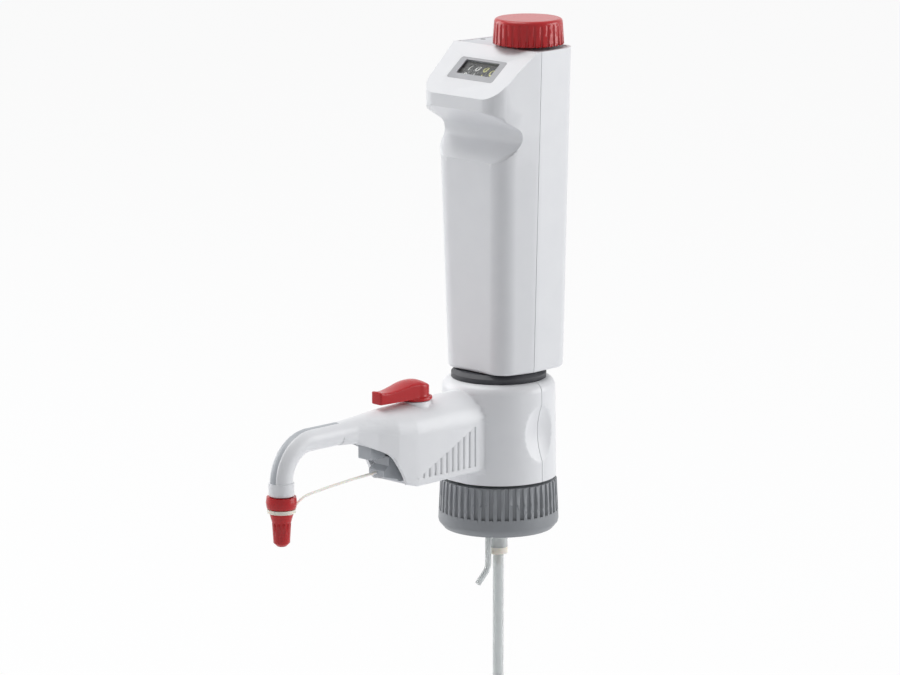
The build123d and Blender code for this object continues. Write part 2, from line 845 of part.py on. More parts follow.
window_plane = Plane(origin=(0, window_y, window_z), x_dir=(1, 0, 0), z_dir=(0, -sin(slope), cos(slope)))
plate_front_y = face_edge_y + top_plate_margin
housing_head_y = 13.0
housing_screw_tip_y = -8.0
with BuildPart() as handle_shell:
    add(handle_solid(0, handle_bottom_z, handle_top_z))
    add(handle_void.part, mode=Mode.SUBTRACT)
    for boss_x, boss_z in boss_places:
        with BuildSketch(Plane.XZ.offset(-housing_screw_tip_y + 1)):
            with Locations((boss_x, boss_z)):
                Circle(screw_radius + running)
        extrude(amount=-30, mode=Mode.SUBTRACT)
        with BuildSketch(Plane.XZ.offset(-housing_head_y)):
            with Locations((boss_x, boss_z)):
                Circle(screw_head_radius + sliding)
        extrude(amount=-20, mode=Mode.SUBTRACT)
    rib_offset = carriage_tab_width / 2 + sliding + rib_thickness / 2
    rib_top_z = carriage_top_z + setting_travel + 4
    for rib_x in (spindle_x - rib_offset, spindle_x + rib_offset):
        with BuildSketch(Plane.XY.offset(guide_top_z + sliding)):
            with Locations((rib_x, handle_rear - handle_wall - rib_depth / 2 + 0.5)):
                Rectangle(rib_thickness, rib_depth + 1)
        extrude(amount=rib_top_z - guide_top_z)
    with BuildSketch(Plane.XY.offset(plate_bottom_z)):
        add(head_section(plate_bottom_z, top_plate_margin - sliding))
        with Locations((0, plate_front_y - sliding - 50)):
            Rectangle(100, 100, mode=Mode.SUBTRACT)
    extrude(amount=10, mode=Mode.SUBTRACT)
    with BuildSketch(window_plane):
        RectangleRounded(window_length, window_height, window_corner)
    extrude(amount=-bezel_thickness, mode=Mode.SUBTRACT)
    with BuildSketch(window_plane):
        RectangleRounded(window_length - 2 * window_ledge, window_height - 2 * window_ledge, window_corner)
    extrude(amount=-handle_wall - 1, mode=Mode.SUBTRACT)

handle_solids = {}
for housing_name, housing_side in (("front_housing", -1), ("rear_housing", 1)):
    with BuildPart() as housing:
        add(handle_shell.part)
        with Locations((0, -housing_side * 50, (handle_bottom_z + handle_top_z) / 2)):
            Box(120, 100 + seam_gap, 200, mode=Mode.SUBTRACT)
    housing.part.label = housing_name
    handle_solids[housing_name] = housing.part

# Screws of the handle
with BuildPart() as housing_screws:
    for boss_x, boss_z in boss_places:
        with BuildSketch(Plane.XZ.offset(-housing_head_y)):
            with Locations((boss_x, boss_z)):
                Circle(screw_head_radius)
        extrude(amount=-screw_head_height)
        with BuildSketch(Plane.XZ.offset(-housing_head_y)):
            with Locations((boss_x, boss_z)):
                Circle(screw_radius)
        extrude(amount=housing_head_y - housing_screw_tip_y)
housing_screws.part.label = "housing_screws"

# Top plate and the small plug in it
with BuildPart() as top_plate:
    with BuildSketch(Plane.XY.offset(plate_bottom_z)):
        add(head_section(plate_bottom_z, top_plate_margin))
        with Locations((0, plate_front_y - 50)):
            Rectangle(100, 100, mode=Mode.SUBTRACT)
        with Locations((knob_x, knob_y)):
            Circle(knob_shaft_radius + sliding, mode=Mode.SUBTRACT)
        with Locations((adjust_plug_x, adjust_plug_y)):
            Circle(adjust_plug_radius + push_fit, mode=Mode.SUBTRACT)
    extrude(amount=top_plate_thickness)
top_plate.part.label = "top_plate"

with BuildPart() as adjust_plug:
    with BuildSketch(Plane.XY.offset(plate_bottom_z)):
        with Locations((adjust_plug_x, adjust_plug_y)):
            Circle(adjust_plug_radius)
    extrude(amount=top_plate_thickness)
adjust_plug.part.label = "adjust_plug"

# Display bezel in the window's recess, and the lens in the bezel's rebate
lens_length = view_length + 2 * lens_overlap
lens_height = view_height + 2 * lens_overlap
with BuildPart() as display_bezel:
    with BuildSketch(window_plane):
        RectangleRounded(window_length - 2 * sliding, window_height - 2 * sliding, window_corner)
        with Locations((0, view_offset)):
            RectangleRounded(view_length, view_height, 0.6, mode=Mode.SUBTRACT)
    extrude(amount=-bezel_thickness)
    with BuildSketch(window_plane.offset(-bezel_thickness)):
        with Locations((0, view_offset)):
            Rectangle(lens_length + 2 * push_fit, lens_height + 2 * push_fit)
    extrude(amount=lens_thickness, mode=Mode.SUBTRACT)
display_bezel.part.label = "display_bezel"

with BuildPart() as display_lens:
    with BuildSketch(window_plane.offset(-bezel_thickness)):
        with Locations((0, view_offset)):
            Rectangle(lens_length, lens_height)
    extrude(amount=lens_thickness - push_fit)
display_lens.part.label = "display_lens"

# Plates inside the handle: guide bush, rod clamp and counter frame
with BuildPart() as guide_bush:
    with BuildSketch(Plane.XY.offset(guide_bottom_z)):
        add(body_section(guide_bottom_z, handle_wall + sliding))
        Circle(sleeve_radius + sliding, mode=Mode.SUBTRACT)
        with Locations((0, -sleeve_radius)):
            Rectangle(key_width + 2 * sliding, 2 * (key_height + sliding), mode=Mode.SUBTRACT)
        with Locations((spindle_x, spindle_y)):
            Circle(journal_radius + running, mode=Mode.SUBTRACT)
    extrude(amount=guide_thickness)
guide_bush.part.label = "guide_bush"

with BuildPart() as rod_clamp:
    with BuildSketch(Plane.XY.offset(clamp_z)):
        add(head_section(clamp_z, handle_wall + sliding))
        with Locations((0, clamp_front_y - 50)):
            Rectangle(100, 100, mode=Mode.SUBTRACT)
        Circle(rod_radius + push_fit, mode=Mode.SUBTRACT)
        with Locations((spindle_x, spindle_y)):
            Circle(spindle_radius + loose, mode=Mode.SUBTRACT)
    extrude(amount=clamp_thickness)
rod_clamp.part.label = "rod_clamp"

deck_front_y = -2.0
cheek_bottom_z = drum_z - 6.2
cheek_front_y = drum_y - 5.2
cheek_rear_y = lay_shaft_y + 3.5
with BuildPart() as counter_frame:
    with BuildSketch(Plane.XY.offset(deck_bottom_z)):
        add(head_section(deck_bottom_z, handle_wall + sliding))
        with Locations((0, deck_front_y - 50)):
            Rectangle(100, 100, mode=Mode.SUBTRACT)
        with Locations((knob_x, knob_y)):
            Circle(knob_shaft_radius + running, mode=Mode.SUBTRACT)
        with Locations((spindle_x, spindle_y)):
            Circle(journal_radius + running, mode=Mode.SUBTRACT)
    extrude(amount=deck_thickness)
    for cheek_x in (-cheek_inner_x - cheek_thickness, cheek_inner_x):
        with BuildSketch(Plane.YZ.offset(cheek_x)):
            Polygon(
                (cheek_front_y, cheek_bottom_z),
                (cheek_rear_y, cheek_bottom_z),
                (cheek_rear_y, deck_bottom_z + 1),
                (deck_front_y, deck_bottom_z + 1),
                (cheek_front_y, drum_z + 3.5),
                align=None,
            )
            with Locations((drum_y, drum_z), (lay_shaft_y, drum_z)):
                Circle(drum_shaft_radius + running, mode=Mode.SUBTRACT)
        extrude(amount=cheek_thickness)
counter_frame.part.label = "counter_frame"

# Volume knob on its shaft, with the drive gear and the crown gear
with BuildPart() as volume_knob:
    with BuildSketch(Plane.XY.offset(knob_bottom_z)):
        with Locations((knob_x, knob_y)):
            Circle(knob_bottom_radius)
    with BuildSketch(Plane.XY.offset(knob_top_z)):
        with Locations((knob_x, knob_y)):
            Circle(knob_top_radius)
    loft()
    fillet(volume_knob.faces().sort_by(Axis.Z)[-1].edges(), knob_rim_fillet)
    with BuildSketch(Plane.XY.offset(knob_bottom_z)):
        with Locations((knob_x, knob_y)):
            Circle(knob_bottom_radius - knob_skirt)
            Circle(knob_hub_radius, mode=Mode.SUBTRACT)
    extrude(amount=knob_height - knob_roof, mode=Mode.SUBTRACT)
    with BuildSketch(Plane.XY.offset(knob_bottom_z)):
        with Locations((knob_x, knob_y)):
            with PolarLocations(knob_bottom_radius, knob_flutes):
                Circle(knob_flute_radius)
    extrude(amount=knob_height - 2, mode=Mode.SUBTRACT)
    with BuildSketch(Plane.XY.offset(knob_bottom_z)):
        with Locations((knob_x, knob_y)):
            Circle(knob_hub_radius)
    extrude(amount=-knob_gap)
    with BuildSketch(Plane.XY.offset(knob_bottom_z - 5)):
        with Locations((knob_x, knob_y)):
            Circle(knob_shaft_radius + push_fit)
    extrude(amount=5 + knob_height - knob_roof, mode=Mode.SUBTRACT)
volume_knob.part.label = "volume_knob"

with BuildPart() as knob_shaft:
    with BuildSketch(Plane.XY.offset(crown_z)):
        with Locations((knob_x, knob_y)):
            Circle(knob_shaft_radius)
    extrude(amount=knob_top_z - knob_roof - crown_z - push_fit)
knob_shaft.part.label = "knob_shaft"

knob_plane = Plane(origin=(knob_x, knob_y, drive_gear_z))
with BuildPart() as drive_gear:
    with BuildSketch(knob_plane):
        add(gear_outline(drive_pitch_radius, drive_teeth, knob_shaft_radius + push_fit, mesh_angle))
    extrude(amount=gear_thickness)
drive_gear.part.label = "drive_gear"

with BuildPart() as crown_gear:
    with BuildSketch(Plane(origin=(knob_x, knob_y, crown_z))):
        Circle(crown_radius + 0.8)
        Circle(knob_shaft_radius + push_fit, mode=Mode.SUBTRACT)
    extrude(amount=crown_disc)
    with BuildSketch(Plane(origin=(knob_x, knob_y, crown_z))):
        with PolarLocations(crown_radius, crown_teeth, start_angle=180 / crown_teeth):
            Rectangle(1.6, 2 * pi * crown_radius / crown_teeth * tooth_share)
    extrude(amount=-crown_tooth_height)
crown_gear.part.label = "crown_gear"

# Volume spindle with its gear, and the stop carriage on its thread
with BuildPart() as volume_spindle:
    with BuildSketch(Plane.XY.offset(guide_bottom_z + sliding)):
        with Locations((spindle_x, spindle_y)):
            Circle(journal_radius)
    extrude(amount=deck_bottom_z + deck_thickness - guide_bottom_z - 2 * sliding)
    with BuildSketch(Plane.XY.offset(guide_top_z + running)):
        with Locations((spindle_x, spindle_y)):
            Circle(spindle_radius)
    extrude(amount=deck_bottom_z - guide_top_z - 2 * running)
volume_spindle.part.label = "volume_spindle"

spindle_plane = Plane(origin=(spindle_x, spindle_y, drive_gear_z))
spindle_phase = mesh_angle + 180 + 180 / spindle_teeth
with BuildPart() as spindle_gear:
    with BuildSketch(spindle_plane):
        add(gear_outline(spindle_pitch_radius, spindle_teeth, spindle_radius + push_fit, spindle_phase))
    extrude(amount=gear_thickness)
spindle_gear.part.label = "spindle_gear"

with BuildPart() as stop_carriage:
    with BuildSketch(Plane.XY.offset(carriage_bottom_z)):
        tab_end_y = handle_rear - handle_wall - ledge_reach - loose
        with Locations((spindle_x, spindle_y)):
            Circle(carriage_radius)
        with Locations((spindle_x, (spindle_y + tab_end_y) / 2)):
            Rectangle(carriage_tab_width, tab_end_y - spindle_y)
        with Locations((spindle_x, spindle_y)):
            Circle(spindle_radius + running, mode=Mode.SUBTRACT)
    extrude(amount=carriage_height)
stop_carriage.part.label = "stop_carriage"

# Counter: lay shaft with pinion teeth and its gear, drum gear, and four digit drums, the last with the shaft
lay_plane = across(counter_gear_x - counter_gear_width / 2, lay_shaft_y, drum_z)
with BuildPart() as lay_shaft:
    with BuildSketch(across(-shaft_half_length, lay_shaft_y, drum_z)):
        Circle(drum_shaft_radius)
    extrude(amount=2 * shaft_half_length)
    pinion_x = knob_x - crown_radius - pinion_width / 2
    with BuildSketch(across(pinion_x, lay_shaft_y, drum_z)):
        add(gear_outline(pinion_pitch_radius, pinion_teeth, 0, 90))
    extrude(amount=pinion_width)
lay_shaft.part.label = "lay_shaft"

with BuildPart() as lay_gear:
    with BuildSketch(lay_plane):
        add(gear_outline(lay_pitch_radius, lay_teeth, drum_shaft_radius + push_fit, 0))
    extrude(amount=counter_gear_width)
lay_gear.part.label = "lay_gear"

drum_plane = across(counter_gear_x - counter_gear_width / 2, drum_y, drum_z)
with BuildPart() as drum_gear:
    with BuildSketch(drum_plane):
        add(gear_outline(drum_pitch_radius, drum_teeth, drum_shaft_radius + push_fit, 0))
    extrude(amount=counter_gear_width)
drum_gear.part.label = "drum_gear"

drum_width = drum_pitch - drum_gap
drums = []
for place, drum_name in enumerate(("drum_tens", "drum_ones", "drum_tenths", "drum_hundredths")):
    drum_x = (place - 1.5) * drum_pitch - drum_width / 2
    with BuildPart() as drum:
        with BuildSketch(across(drum_x, drum_y, drum_z)):
            Circle(drum_radius)
            Circle(drum_shaft_radius + running, mode=Mode.SUBTRACT)
        extrude(amount=drum_width)
        if drum_name == "drum_hundredths":
            with BuildSketch(across(-shaft_half_length, drum_y, drum_z)):
                Circle(drum_shaft_radius)
            extrude(amount=2 * shaft_half_length)
            with BuildSketch(across(drum_x, drum_y, drum_z)):
                Circle(drum_shaft_radius + 1)
            extrude(amount=drum_width)
    drum.part.label = drum_name
    drums.append(drum.part)

# Arm shell: a round-topped shell open below, which narrows into the bent spout
arm_bend_y = -spout_reach + spout_bend_radius
arm_sections = (
    (arm_root_y, arm_half_width, arm_bottom_z, arm_top_z, arm_corner),
    (-45, arm_half_width - 0.2, arm_bottom_z - 0.2, arm_top_z - 0.1, arm_corner),
    (-62, arm_half_width - 0.7, arm_bottom_z - 0.6, arm_top_z - 0.6, arm_corner),
    (-72, 10.8, 17, 49.3, 2),
    (-82, 7.6, 27, 48.7, 3),
    (-92, 5.5, 36, 48.0, 4),
    (spout_start_y - 2, spout_radius, spout_z - spout_radius, spout_z + spout_radius, 4.6),
)
cavity_floor_z = arm_bottom_z - 0.6 + arm_wall + 0.2
cavity_sections = (
    (arm_root_y - arm_wall, arm_half_width - arm_wall, arm_top_z - arm_wall),
    (-45, arm_half_width - 0.2 - arm_wall, arm_top_z - 0.1 - arm_wall),
    (arm_floor_front_y, arm_half_width - 1.0 - arm_wall, arm_top_z - 0.7 - arm_wall),
    (-72, 10.8 - arm_wall, 49.3 - arm_wall),
    (-82, 7.6 - arm_wall, 48.7 - arm_wall),
    (arm_cavity_front_y, 6.7 - arm_wall, 48.4 - arm_wall),
)
spout_path_plane = Plane.XZ.offset(-spout_start_y)
bend_axis = Axis((0, arm_bend_y, spout_z - spout_bend_radius), (1, 0, 0))


def along_spout(outline, start_y, end_z):
    """Carries an outline, drawn on an upright plane, along the spout: straight, round the bend and down."""
    with BuildPart() as run:
        with BuildSketch(Plane.XZ.offset(-start_y)):
            with Locations((0, spout_z)):
                add(outline)
        extrude(amount=start_y - arm_bend_y)
        with BuildSketch(Plane.XZ.offset(-arm_bend_y)):
            with Locations((0, spout_z)):
                add(outline)
        revolve(axis=bend_axis, revolution_arc=90)
        with BuildSketch(Plane(origin=(0, -spout_reach, spout_z - spout_bend_radius), x_dir=(1, 0, 0),
                               z_dir=(0, 0, -1))):
            add(outline)
        extrude(amount=spout_z - spout_bend_radius - end_z)
    return run.part


def ring_outline(outer, inner):
    with BuildSketch() as outline:
        Circle(outer)
        if inner > 0:
            Circle(inner, mode=Mode.SUBTRACT)
    return outline.sketch


def inset_outline(width, depth):
    """Cross-section of the strip that lies in the top of the spout."""
    with BuildSketch() as outline:
        Circle(spout_radius)
        Circle(spout_radius - depth, mode=Mode.SUBTRACT)
        with Locations((0, spout_radius)):
            Rectangle(width, spout_radius, mode=Mode.INTERSECT)
    return outline.sketch


spout_solid = along_spout(ring_outline(spout_radius, 0), spout_start_y, spout_tip_z + nozzle_height)
spout_stub = along_spout(ring_outline(nozzle_radius - nozzle_wall, 0), spout_start_y, spout_tip_z)
spout_bore = along_spout(ring_outline(tube_outer + loose, 0), arm_cavity_front_y + 1, spout_tip_z - 1)
inset_end_z = spout_tip_z + nozzle_height
inset_groove = along_spout(inset_outline(inset_width, inset_depth), inset_start_y, inset_end_z)
inset_strip = along_spout(inset_outline(inset_width - 2 * push_fit, inset_depth - push_fit),
                          inset_start_y - push_fit, inset_end_z)

with BuildPart() as arm_shell:
    for near, far in zip(arm_sections[:-1], arm_sections[1:]):
        for section_y, *sizes in (near, far):
            with BuildSketch(Plane.XZ.offset(-section_y)):
                add(arch_outline(*sizes))
        loft()
    with BuildSketch(Plane.YZ):
        with BuildLine():
            Spline((-67.8, 14), (-70.4, 21.9), (-72.5, 25.4), (-75, 29.2), (-82.6, 33.6), (-91.7, 37.2),
                   (-100.5, 37.4))
            Polyline((-100.5, 37.4), (-110, 37.4), (-110, 10), (-67.8, 10), (-67.8, 14))
        make_face()
    extrude(amount=30, both=True, mode=Mode.SUBTRACT)
    add(spout_solid)
    add(spout_stub)
    with Locations((0, valve_y, boss_top_z)):
        Cylinder(lever_boss_radius, boss_top_z - 47, align=(Align.CENTER, Align.CENTER, Align.MAX))
    for near, far in zip(cavity_sections[:-1], cavity_sections[1:]):
        floor_z = cavity_floor_z if far[0] >= arm_floor_front_y else 5
        for section_y, half_width, top_z in (near, far):
            with BuildSketch(Plane.XZ.offset(-section_y)):
                add(arch_outline(half_width, floor_z, top_z, 0.5))
        loft(mode=Mode.SUBTRACT)
    add(spout_bore, mode=Mode.SUBTRACT)
    add(inset_groove, mode=Mode.SUBTRACT)
    with BuildSketch(Plane.XZ.offset(-arm_root_y - 1)):
        with Locations((0, spout_z)):
            Circle(branch_radius + loose)
    extrude(amount=arm_wall + 2, mode=Mode.SUBTRACT)
    with Locations((0, valve_y, boss_top_z - 6)):
        Cylinder(valve_neck_radius + sliding, 16, mode=Mode.SUBTRACT)
    for groove in range(grip_grooves):
        groove_y = grip_first_y - groove * grip_pitch
        groove_top_z = 36.2 + 0.516 * (groove_y - grip_first_y)
        groove_bottom_z = 18.2
        side_x = arm_half_width - 0.02 * (arm_root_y - groove_y)
        with Locations((side_x, groove_y, groove_bottom_z), (-side_x, groove_y, groove_bottom_z)):
            Box(2 * grip_depth, grip_width, groove_top_z - groove_bottom_z,
                align=(Align.CENTER, Align.CENTER, Align.MIN), mode=Mode.SUBTRACT)
arm_shell.part.label = "arm_shell"

with BuildPart() as spout_inset:
    add(inset_strip)
spout_inset.part.label = "spout_inset"

with BuildPart() as spout_nozzle:
    with BuildSketch(Plane.XY.offset(spout_tip_z)):
        with Locations((0, -spout_reach)):
            Circle(nozzle_radius)
            Circle(nozzle_radius - nozzle_wall + push_fit, mode=Mode.SUBTRACT)
    extrude(amount=nozzle_height)
    fillet(spout_nozzle.faces().sort_by(Axis.Z)[0].edges().sort_by(SortBy.RADIUS)[-1], 0.6)
spout_nozzle.part.label = "spout_nozzle"

with BuildPart() as discharge_tube:
    add(along_spout(ring_outline(tube_outer, tube_inner), valve_nose_y, tube_end_z))
discharge_tube.part.label = "discharge_tube"


# Discharge valve in the outlet branch: a ball on the step of the bore, and its spring
discharge_ball_y = valve_bore_y - sqrt(ball_radius**2 - channel_radius**2) - running
with BuildPart() as discharge_ball:
    with Locations((0, discharge_ball_y, spout_z)):
        Sphere(ball_radius)
discharge_ball.part.label = "discharge_ball"

spring_start_y = discharge_ball_y - ball_radius - discharge_lift - running - spring_wire
spring_height = spring_start_y - branch_end_y - spring_wire
with BuildPart() as discharge_spring:
    with BuildLine() as spring_path:
        Helix(pitch=spring_pitch, height=spring_height, radius=spring_radius,
              center=(0, spring_start_y, spout_z), direction=(0, -1, 0))
    with BuildSketch(Plane(origin=spring_path.line @ 0, z_dir=spring_path.line % 0)):
        Circle(spring_wire)
    sweep(path=spring_path.line)
discharge_spring.part.label = "discharge_spring"

# Body of the lever's valve, with the plug that the lever turns
plug_floor_z = valve_body_bottom_z + valve_floor
with BuildPart() as valve_body:
    with BuildSketch(Plane.XY.offset(valve_body_bottom_z)):
        with Locations((0, valve_y)):
            Circle(valve_body_radius)
    extrude(amount=valve_shoulder_z - valve_body_bottom_z)
    with BuildSketch(Plane.XY.offset(valve_shoulder_z)):
        with Locations((0, valve_y)):
            Circle(valve_neck_radius)
    extrude(amount=boss_top_z - valve_shoulder_z)
    with BuildSketch(Plane.XZ.offset(-branch_end_y)):
        with Locations((0, spout_z)):
            Circle(valve_stub_radius)
        with Locations((0, return_z + 1)):
            Rectangle(5, 6)
    extrude(amount=branch_end_y - valve_y)
    with BuildSketch(Plane.XZ.offset(-valve_y)):
        with Locations((0, spout_z)):
            Circle(valve_stub_radius)
    extrude(amount=valve_y - valve_nose_y)
    with BuildSketch(Plane.XZ.offset(-branch_end_y - 1)):
        with Locations((0, spout_z)):
            Circle(channel_radius)
    extrude(amount=branch_end_y - valve_nose_y + 2, mode=Mode.SUBTRACT)
    with BuildSketch(Plane.XZ.offset(-branch_end_y - 1)):
        with Locations((0, return_z)):
            Circle(return_radius)
    extrude(amount=branch_end_y - valve_y, mode=Mode.SUBTRACT)
    with BuildSketch(Plane.XY.offset(plug_floor_z)):
        with Locations((0, valve_y)):
            Circle(plug_radius + running)
    extrude(amount=boss_top_z - plug_floor_z + 1, mode=Mode.SUBTRACT)
valve_body.part.label = "valve_body"

seal_groove_z = valve_shoulder_z + 2
plug_groove_radius = plug_radius - 0.8
disc_bottom_z = boss_top_z + disc_gap
with BuildPart() as valve_plug:
    with BuildSketch(Plane.XZ.offset(-valve_y)):
        with BuildLine():
            Polyline(
                (0, plug_floor_z + running),
                (plug_radius, plug_floor_z + running),
                (plug_radius, seal_groove_z),
                (plug_groove_radius, seal_groove_z),
                (plug_groove_radius, seal_groove_z + plug_seal_height),
                (plug_radius, seal_groove_z + plug_seal_height),
                (plug_radius, disc_bottom_z),
                (lever_spigot_radius, disc_bottom_z),
                (lever_spigot_radius, disc_bottom_z + lever_spigot_height),
                (0, disc_bottom_z + lever_spigot_height),
                close=True,
            )
        make_face()
    revolve(axis=Axis((0, valve_y, 0), (0, 0, 1)))
    with BuildSketch(Plane.XZ.offset(-valve_y - plug_radius - 1)):
        with Locations((0, spout_z)):
            Circle(channel_radius)
    extrude(amount=2 * plug_radius + 2, mode=Mode.SUBTRACT)
valve_plug.part.label = "valve_plug"

with BuildPart() as plug_seal:
    with BuildSketch(Plane.XY.offset(seal_groove_z + push_fit)):
        with Locations((0, valve_y)):
            Circle(plug_radius + push_fit)
            Circle(plug_groove_radius + push_fit, mode=Mode.SUBTRACT)
    extrude(amount=plug_seal_height - 2 * push_fit)
plug_seal.part.label = "plug_seal"

# Lever: a disc over the boss, and a bar that narrows to its flat tip
disc_top_z = disc_bottom_z + disc_thickness
lever_tip_y = valve_y - lever_reach
with BuildPart() as lever_side:
    with BuildSketch(Plane.YZ):
        with BuildLine():
            Polyline((valve_y + 6.6, disc_top_z - 0.4), (lever_tip_y, disc_top_z - 0.8), (lever_tip_y, lever_tip_top_z))
            Spline((lever_tip_y, lever_tip_top_z), (valve_y - 8, lever_top_z - 0.6), (valve_y, lever_top_z - 0.2),
                   (valve_y + 5, lever_top_z - 2.6), (valve_y + 6.6, disc_top_z - 0.4))
        make_face()
    extrude(amount=20, both=True)

with BuildPart() as lever:
    with BuildSketch(Plane.XY.offset(disc_top_z - 1)):
        with BuildLine():
            tangent_y = valve_y - 2.5
            Polyline((-lever_hub_radius + 0.5, tangent_y), (-lever_tip_half_width, lever_tip_y),
                     (lever_tip_half_width, lever_tip_y), (lever_hub_radius - 0.5, tangent_y), close=True)
        make_face()
        with Locations((0, valve_y)):
            Circle(lever_hub_radius)
    extrude(amount=lever_top_z - disc_top_z + 1)
    add(lever_side.part, mode=Mode.INTERSECT)
    with BuildSketch(Plane.XY.offset(disc_bottom_z)):
        with Locations((0, valve_y)):
            Circle(disc_radius)
    extrude(amount=disc_thickness)
    with BuildSketch(Plane.XY.offset(disc_bottom_z - 1)):
        with Locations((0, valve_y)):
            Circle(lever_spigot_radius + push_fit)
    extrude(amount=lever_spigot_height + 1 + push_fit, mode=Mode.SUBTRACT)
lever.part.label = "lever"

# Union nut on the valve body's nose
union_start_y = valve_y - valve_body_radius - 0.4
with BuildPart() as discharge_union_nut:
    with BuildSketch(Plane.XZ.offset(-union_start_y)):
        with Locations((0, spout_z)):
            Circle(union_nut_radius)
            Circle(valve_stub_radius + push_fit, mode=Mode.SUBTRACT)
    extrude(amount=union_nut_length)
    with BuildSketch(Plane.XZ.offset(-valve_nose_y + push_fit)):
        with Locations((0, spout_z)):
            Circle(valve_stub_radius + 0.5)
            Circle(tube_outer + push_fit, mode=Mode.SUBTRACT)
    extrude(amount=union_start_y - union_nut_length - valve_nose_y - 0.02 + 2 * 5.9)
discharge_union_nut.part.label = "discharge_union_nut"

# Closure cap over the tube's end, with the loop in its groove
cap_bore_floor_z = tube_end_z - 2
cap_axis = Axis((0, -spout_reach, 0), (0, 0, 1))
groove_top_z = loop_bottom_z + loop_height + running
with BuildPart() as closure_cap:
    with BuildSketch(Plane.XZ.offset(spout_reach)):
        with BuildLine():
            Polyline(
                (0, cap_tip_z),
                (cap_tip_radius - 1.6, cap_tip_z),
                (cap_tip_radius, cap_tip_z + 1.6),
                (cap_waist_radius, cap_waist_z),
                (cap_body_radius - 0.3, loop_bottom_z - running),
                (cap_loop_groove_radius, loop_bottom_z - running),
                (cap_loop_groove_radius, groove_top_z),
                (cap_body_radius, groove_top_z),
                (cap_flange_radius - 0.3, cap_flange_bottom_z + 0.3),
                (cap_flange_radius, (cap_flange_bottom_z + cap_top_z) / 2),
                (cap_flange_radius - 0.3, cap_top_z),
                (tube_outer + loose, cap_top_z),
                (tube_outer + loose, cap_top_z - 4),
                (tube_outer + running, cap_top_z - 4.5),
                (tube_outer + running, cap_waist_z),
                (tube_outer + loose, cap_waist_z - 0.5),
                (tube_outer + loose, cap_bore_floor_z),
                (0, cap_bore_floor_z),
                close=True,
            )
        make_face()
    revolve(axis=cap_axis)
    with BuildSketch(Plane.XY.offset(cap_tip_z + 2)):
        with Locations((0, -spout_reach)):
            with PolarLocations(cap_waist_radius + 0.2, cap_flutes):
                Circle(0.6)
    extrude(amount=cap_waist_z - cap_tip_z - 2, mode=Mode.SUBTRACT)
closure_cap.part.label = "closure_cap"

loop_outer = cap_loop_groove_radius + running + loop_width
ear_end_y = -125.6
with BuildPart() as strap_loop:
    with BuildSketch(Plane.XY.offset(loop_bottom_z)):
        with Locations((0, -spout_reach)):
            Circle(loop_outer)
        with Locations((0, (ear_end_y - spout_reach) / 2)):
            Rectangle(2.4, ear_end_y + spout_reach)
        with Locations((0, -spout_reach)):
            Circle(cap_loop_groove_radius + running, mode=Mode.SUBTRACT)
    extrude(amount=loop_height)
strap_loop.part.label = "strap_loop"

# Pieces in the arm's open underside: the strap holder on the floor and the clip of the discharge tube
holder_nose_y = -76.0
with BuildPart() as strap_holder:
    with BuildSketch(Plane.YZ):
        with BuildLine():
            Polyline(
                (-57.5, cavity_floor_z),
                (-66.5, cavity_floor_z),
                (-68.0, 17.8),
                (holder_nose_y, 20.0),
                (holder_nose_y, 22.6),
                (-73.0, 24.4),
                (-73.0, 28.6),
                (-67.5, 28.6),
                (-66.5, 24.4),
                (-57.5, 22.0),
                close=True,
            )
        make_face()
    extrude(amount=holder_half_width, both=True)
strap_holder.part.label = "strap_holder"

with BuildPart() as tube_clip:
    with BuildSketch(Plane.XZ.offset(74.5)):
        with Locations((0, 34.2)):
            Rectangle(2 * clip_half_width, 11.6)
        with Locations((0, spout_z)):
            Circle(clip_half_width)
            Circle(tube_outer + push_fit, mode=Mode.SUBTRACT)
    extrude(amount=8.5)
    for notch in range(4):
        with Locations((0, -76 - notch * 1.9, 28.4)):
            Box(20, 0.8, 1.2, mode=Mode.SUBTRACT)
tube_clip.part.label = "tube_clip"

# Strap from the cap's loop to the holder: straight runs joined by tangent arcs
strap_points = [
    (0, -125.3, 14.3),
    (0, -121.5, 17.5),
    (0, -114.0, 18.8),
    (0, -104.0, 19.7),
    (0, -90.0, 20.8),
    (0, holder_nose_y, 21.4),
]
strap_radii = []
for before, corner, after in zip(strap_points, strap_points[1:], strap_points[2:]):
    first = Vector(corner) - Vector(before)
    second = Vector(after) - Vector(corner)
    turn = radians(first.get_angle(second))
    strap_radii.append(0.45 * min(first.length, second.length) / tan(turn / 2))
print("strap radii", [round(value, 1) for value in strap_radii])
with BuildPart() as cap_strap:
    with BuildLine() as strap_path:
        FilletPolyline(*strap_points, radius=strap_radii)
    with BuildSketch(Plane(origin=strap_path.line @ 0, z_dir=strap_path.line % 0)):
        Circle(strap_radius)
    sweep(path=strap_path.line)
cap_strap.part.label = "cap_strap"
strap_length = sum(edge.length for edge in strap_path.edges())
print("strap length", round(strap_length, 1), "volume over section times length",
      round(cap_strap.part.volume / (pi * strap_radius**2 * strap_length), 4))

# Filling side: valve under the block with its seat and ball, telescopic tube, recirculation tube
cage_top_z = filling_valve_bottom_z + cage_height
with BuildPart() as filling_valve:
    with BuildSketch(Plane.XZ):
        with BuildLine():
            Polyline(
                (cage_radius, filling_valve_bottom_z),
                (filling_valve_radius, filling_valve_bottom_z),
                (filling_valve_radius, seal_thickness),
                (filling_stem_radius, seal_thickness),
                (filling_stem_radius, filling_socket_z),
                (channel_radius, filling_socket_z),
                (channel_radius, cage_top_z),
                (cage_radius, cage_top_z),
                close=True,
            )
        make_face()
    revolve(axis=Axis.Z)
filling_valve.part.label = "filling_valve"

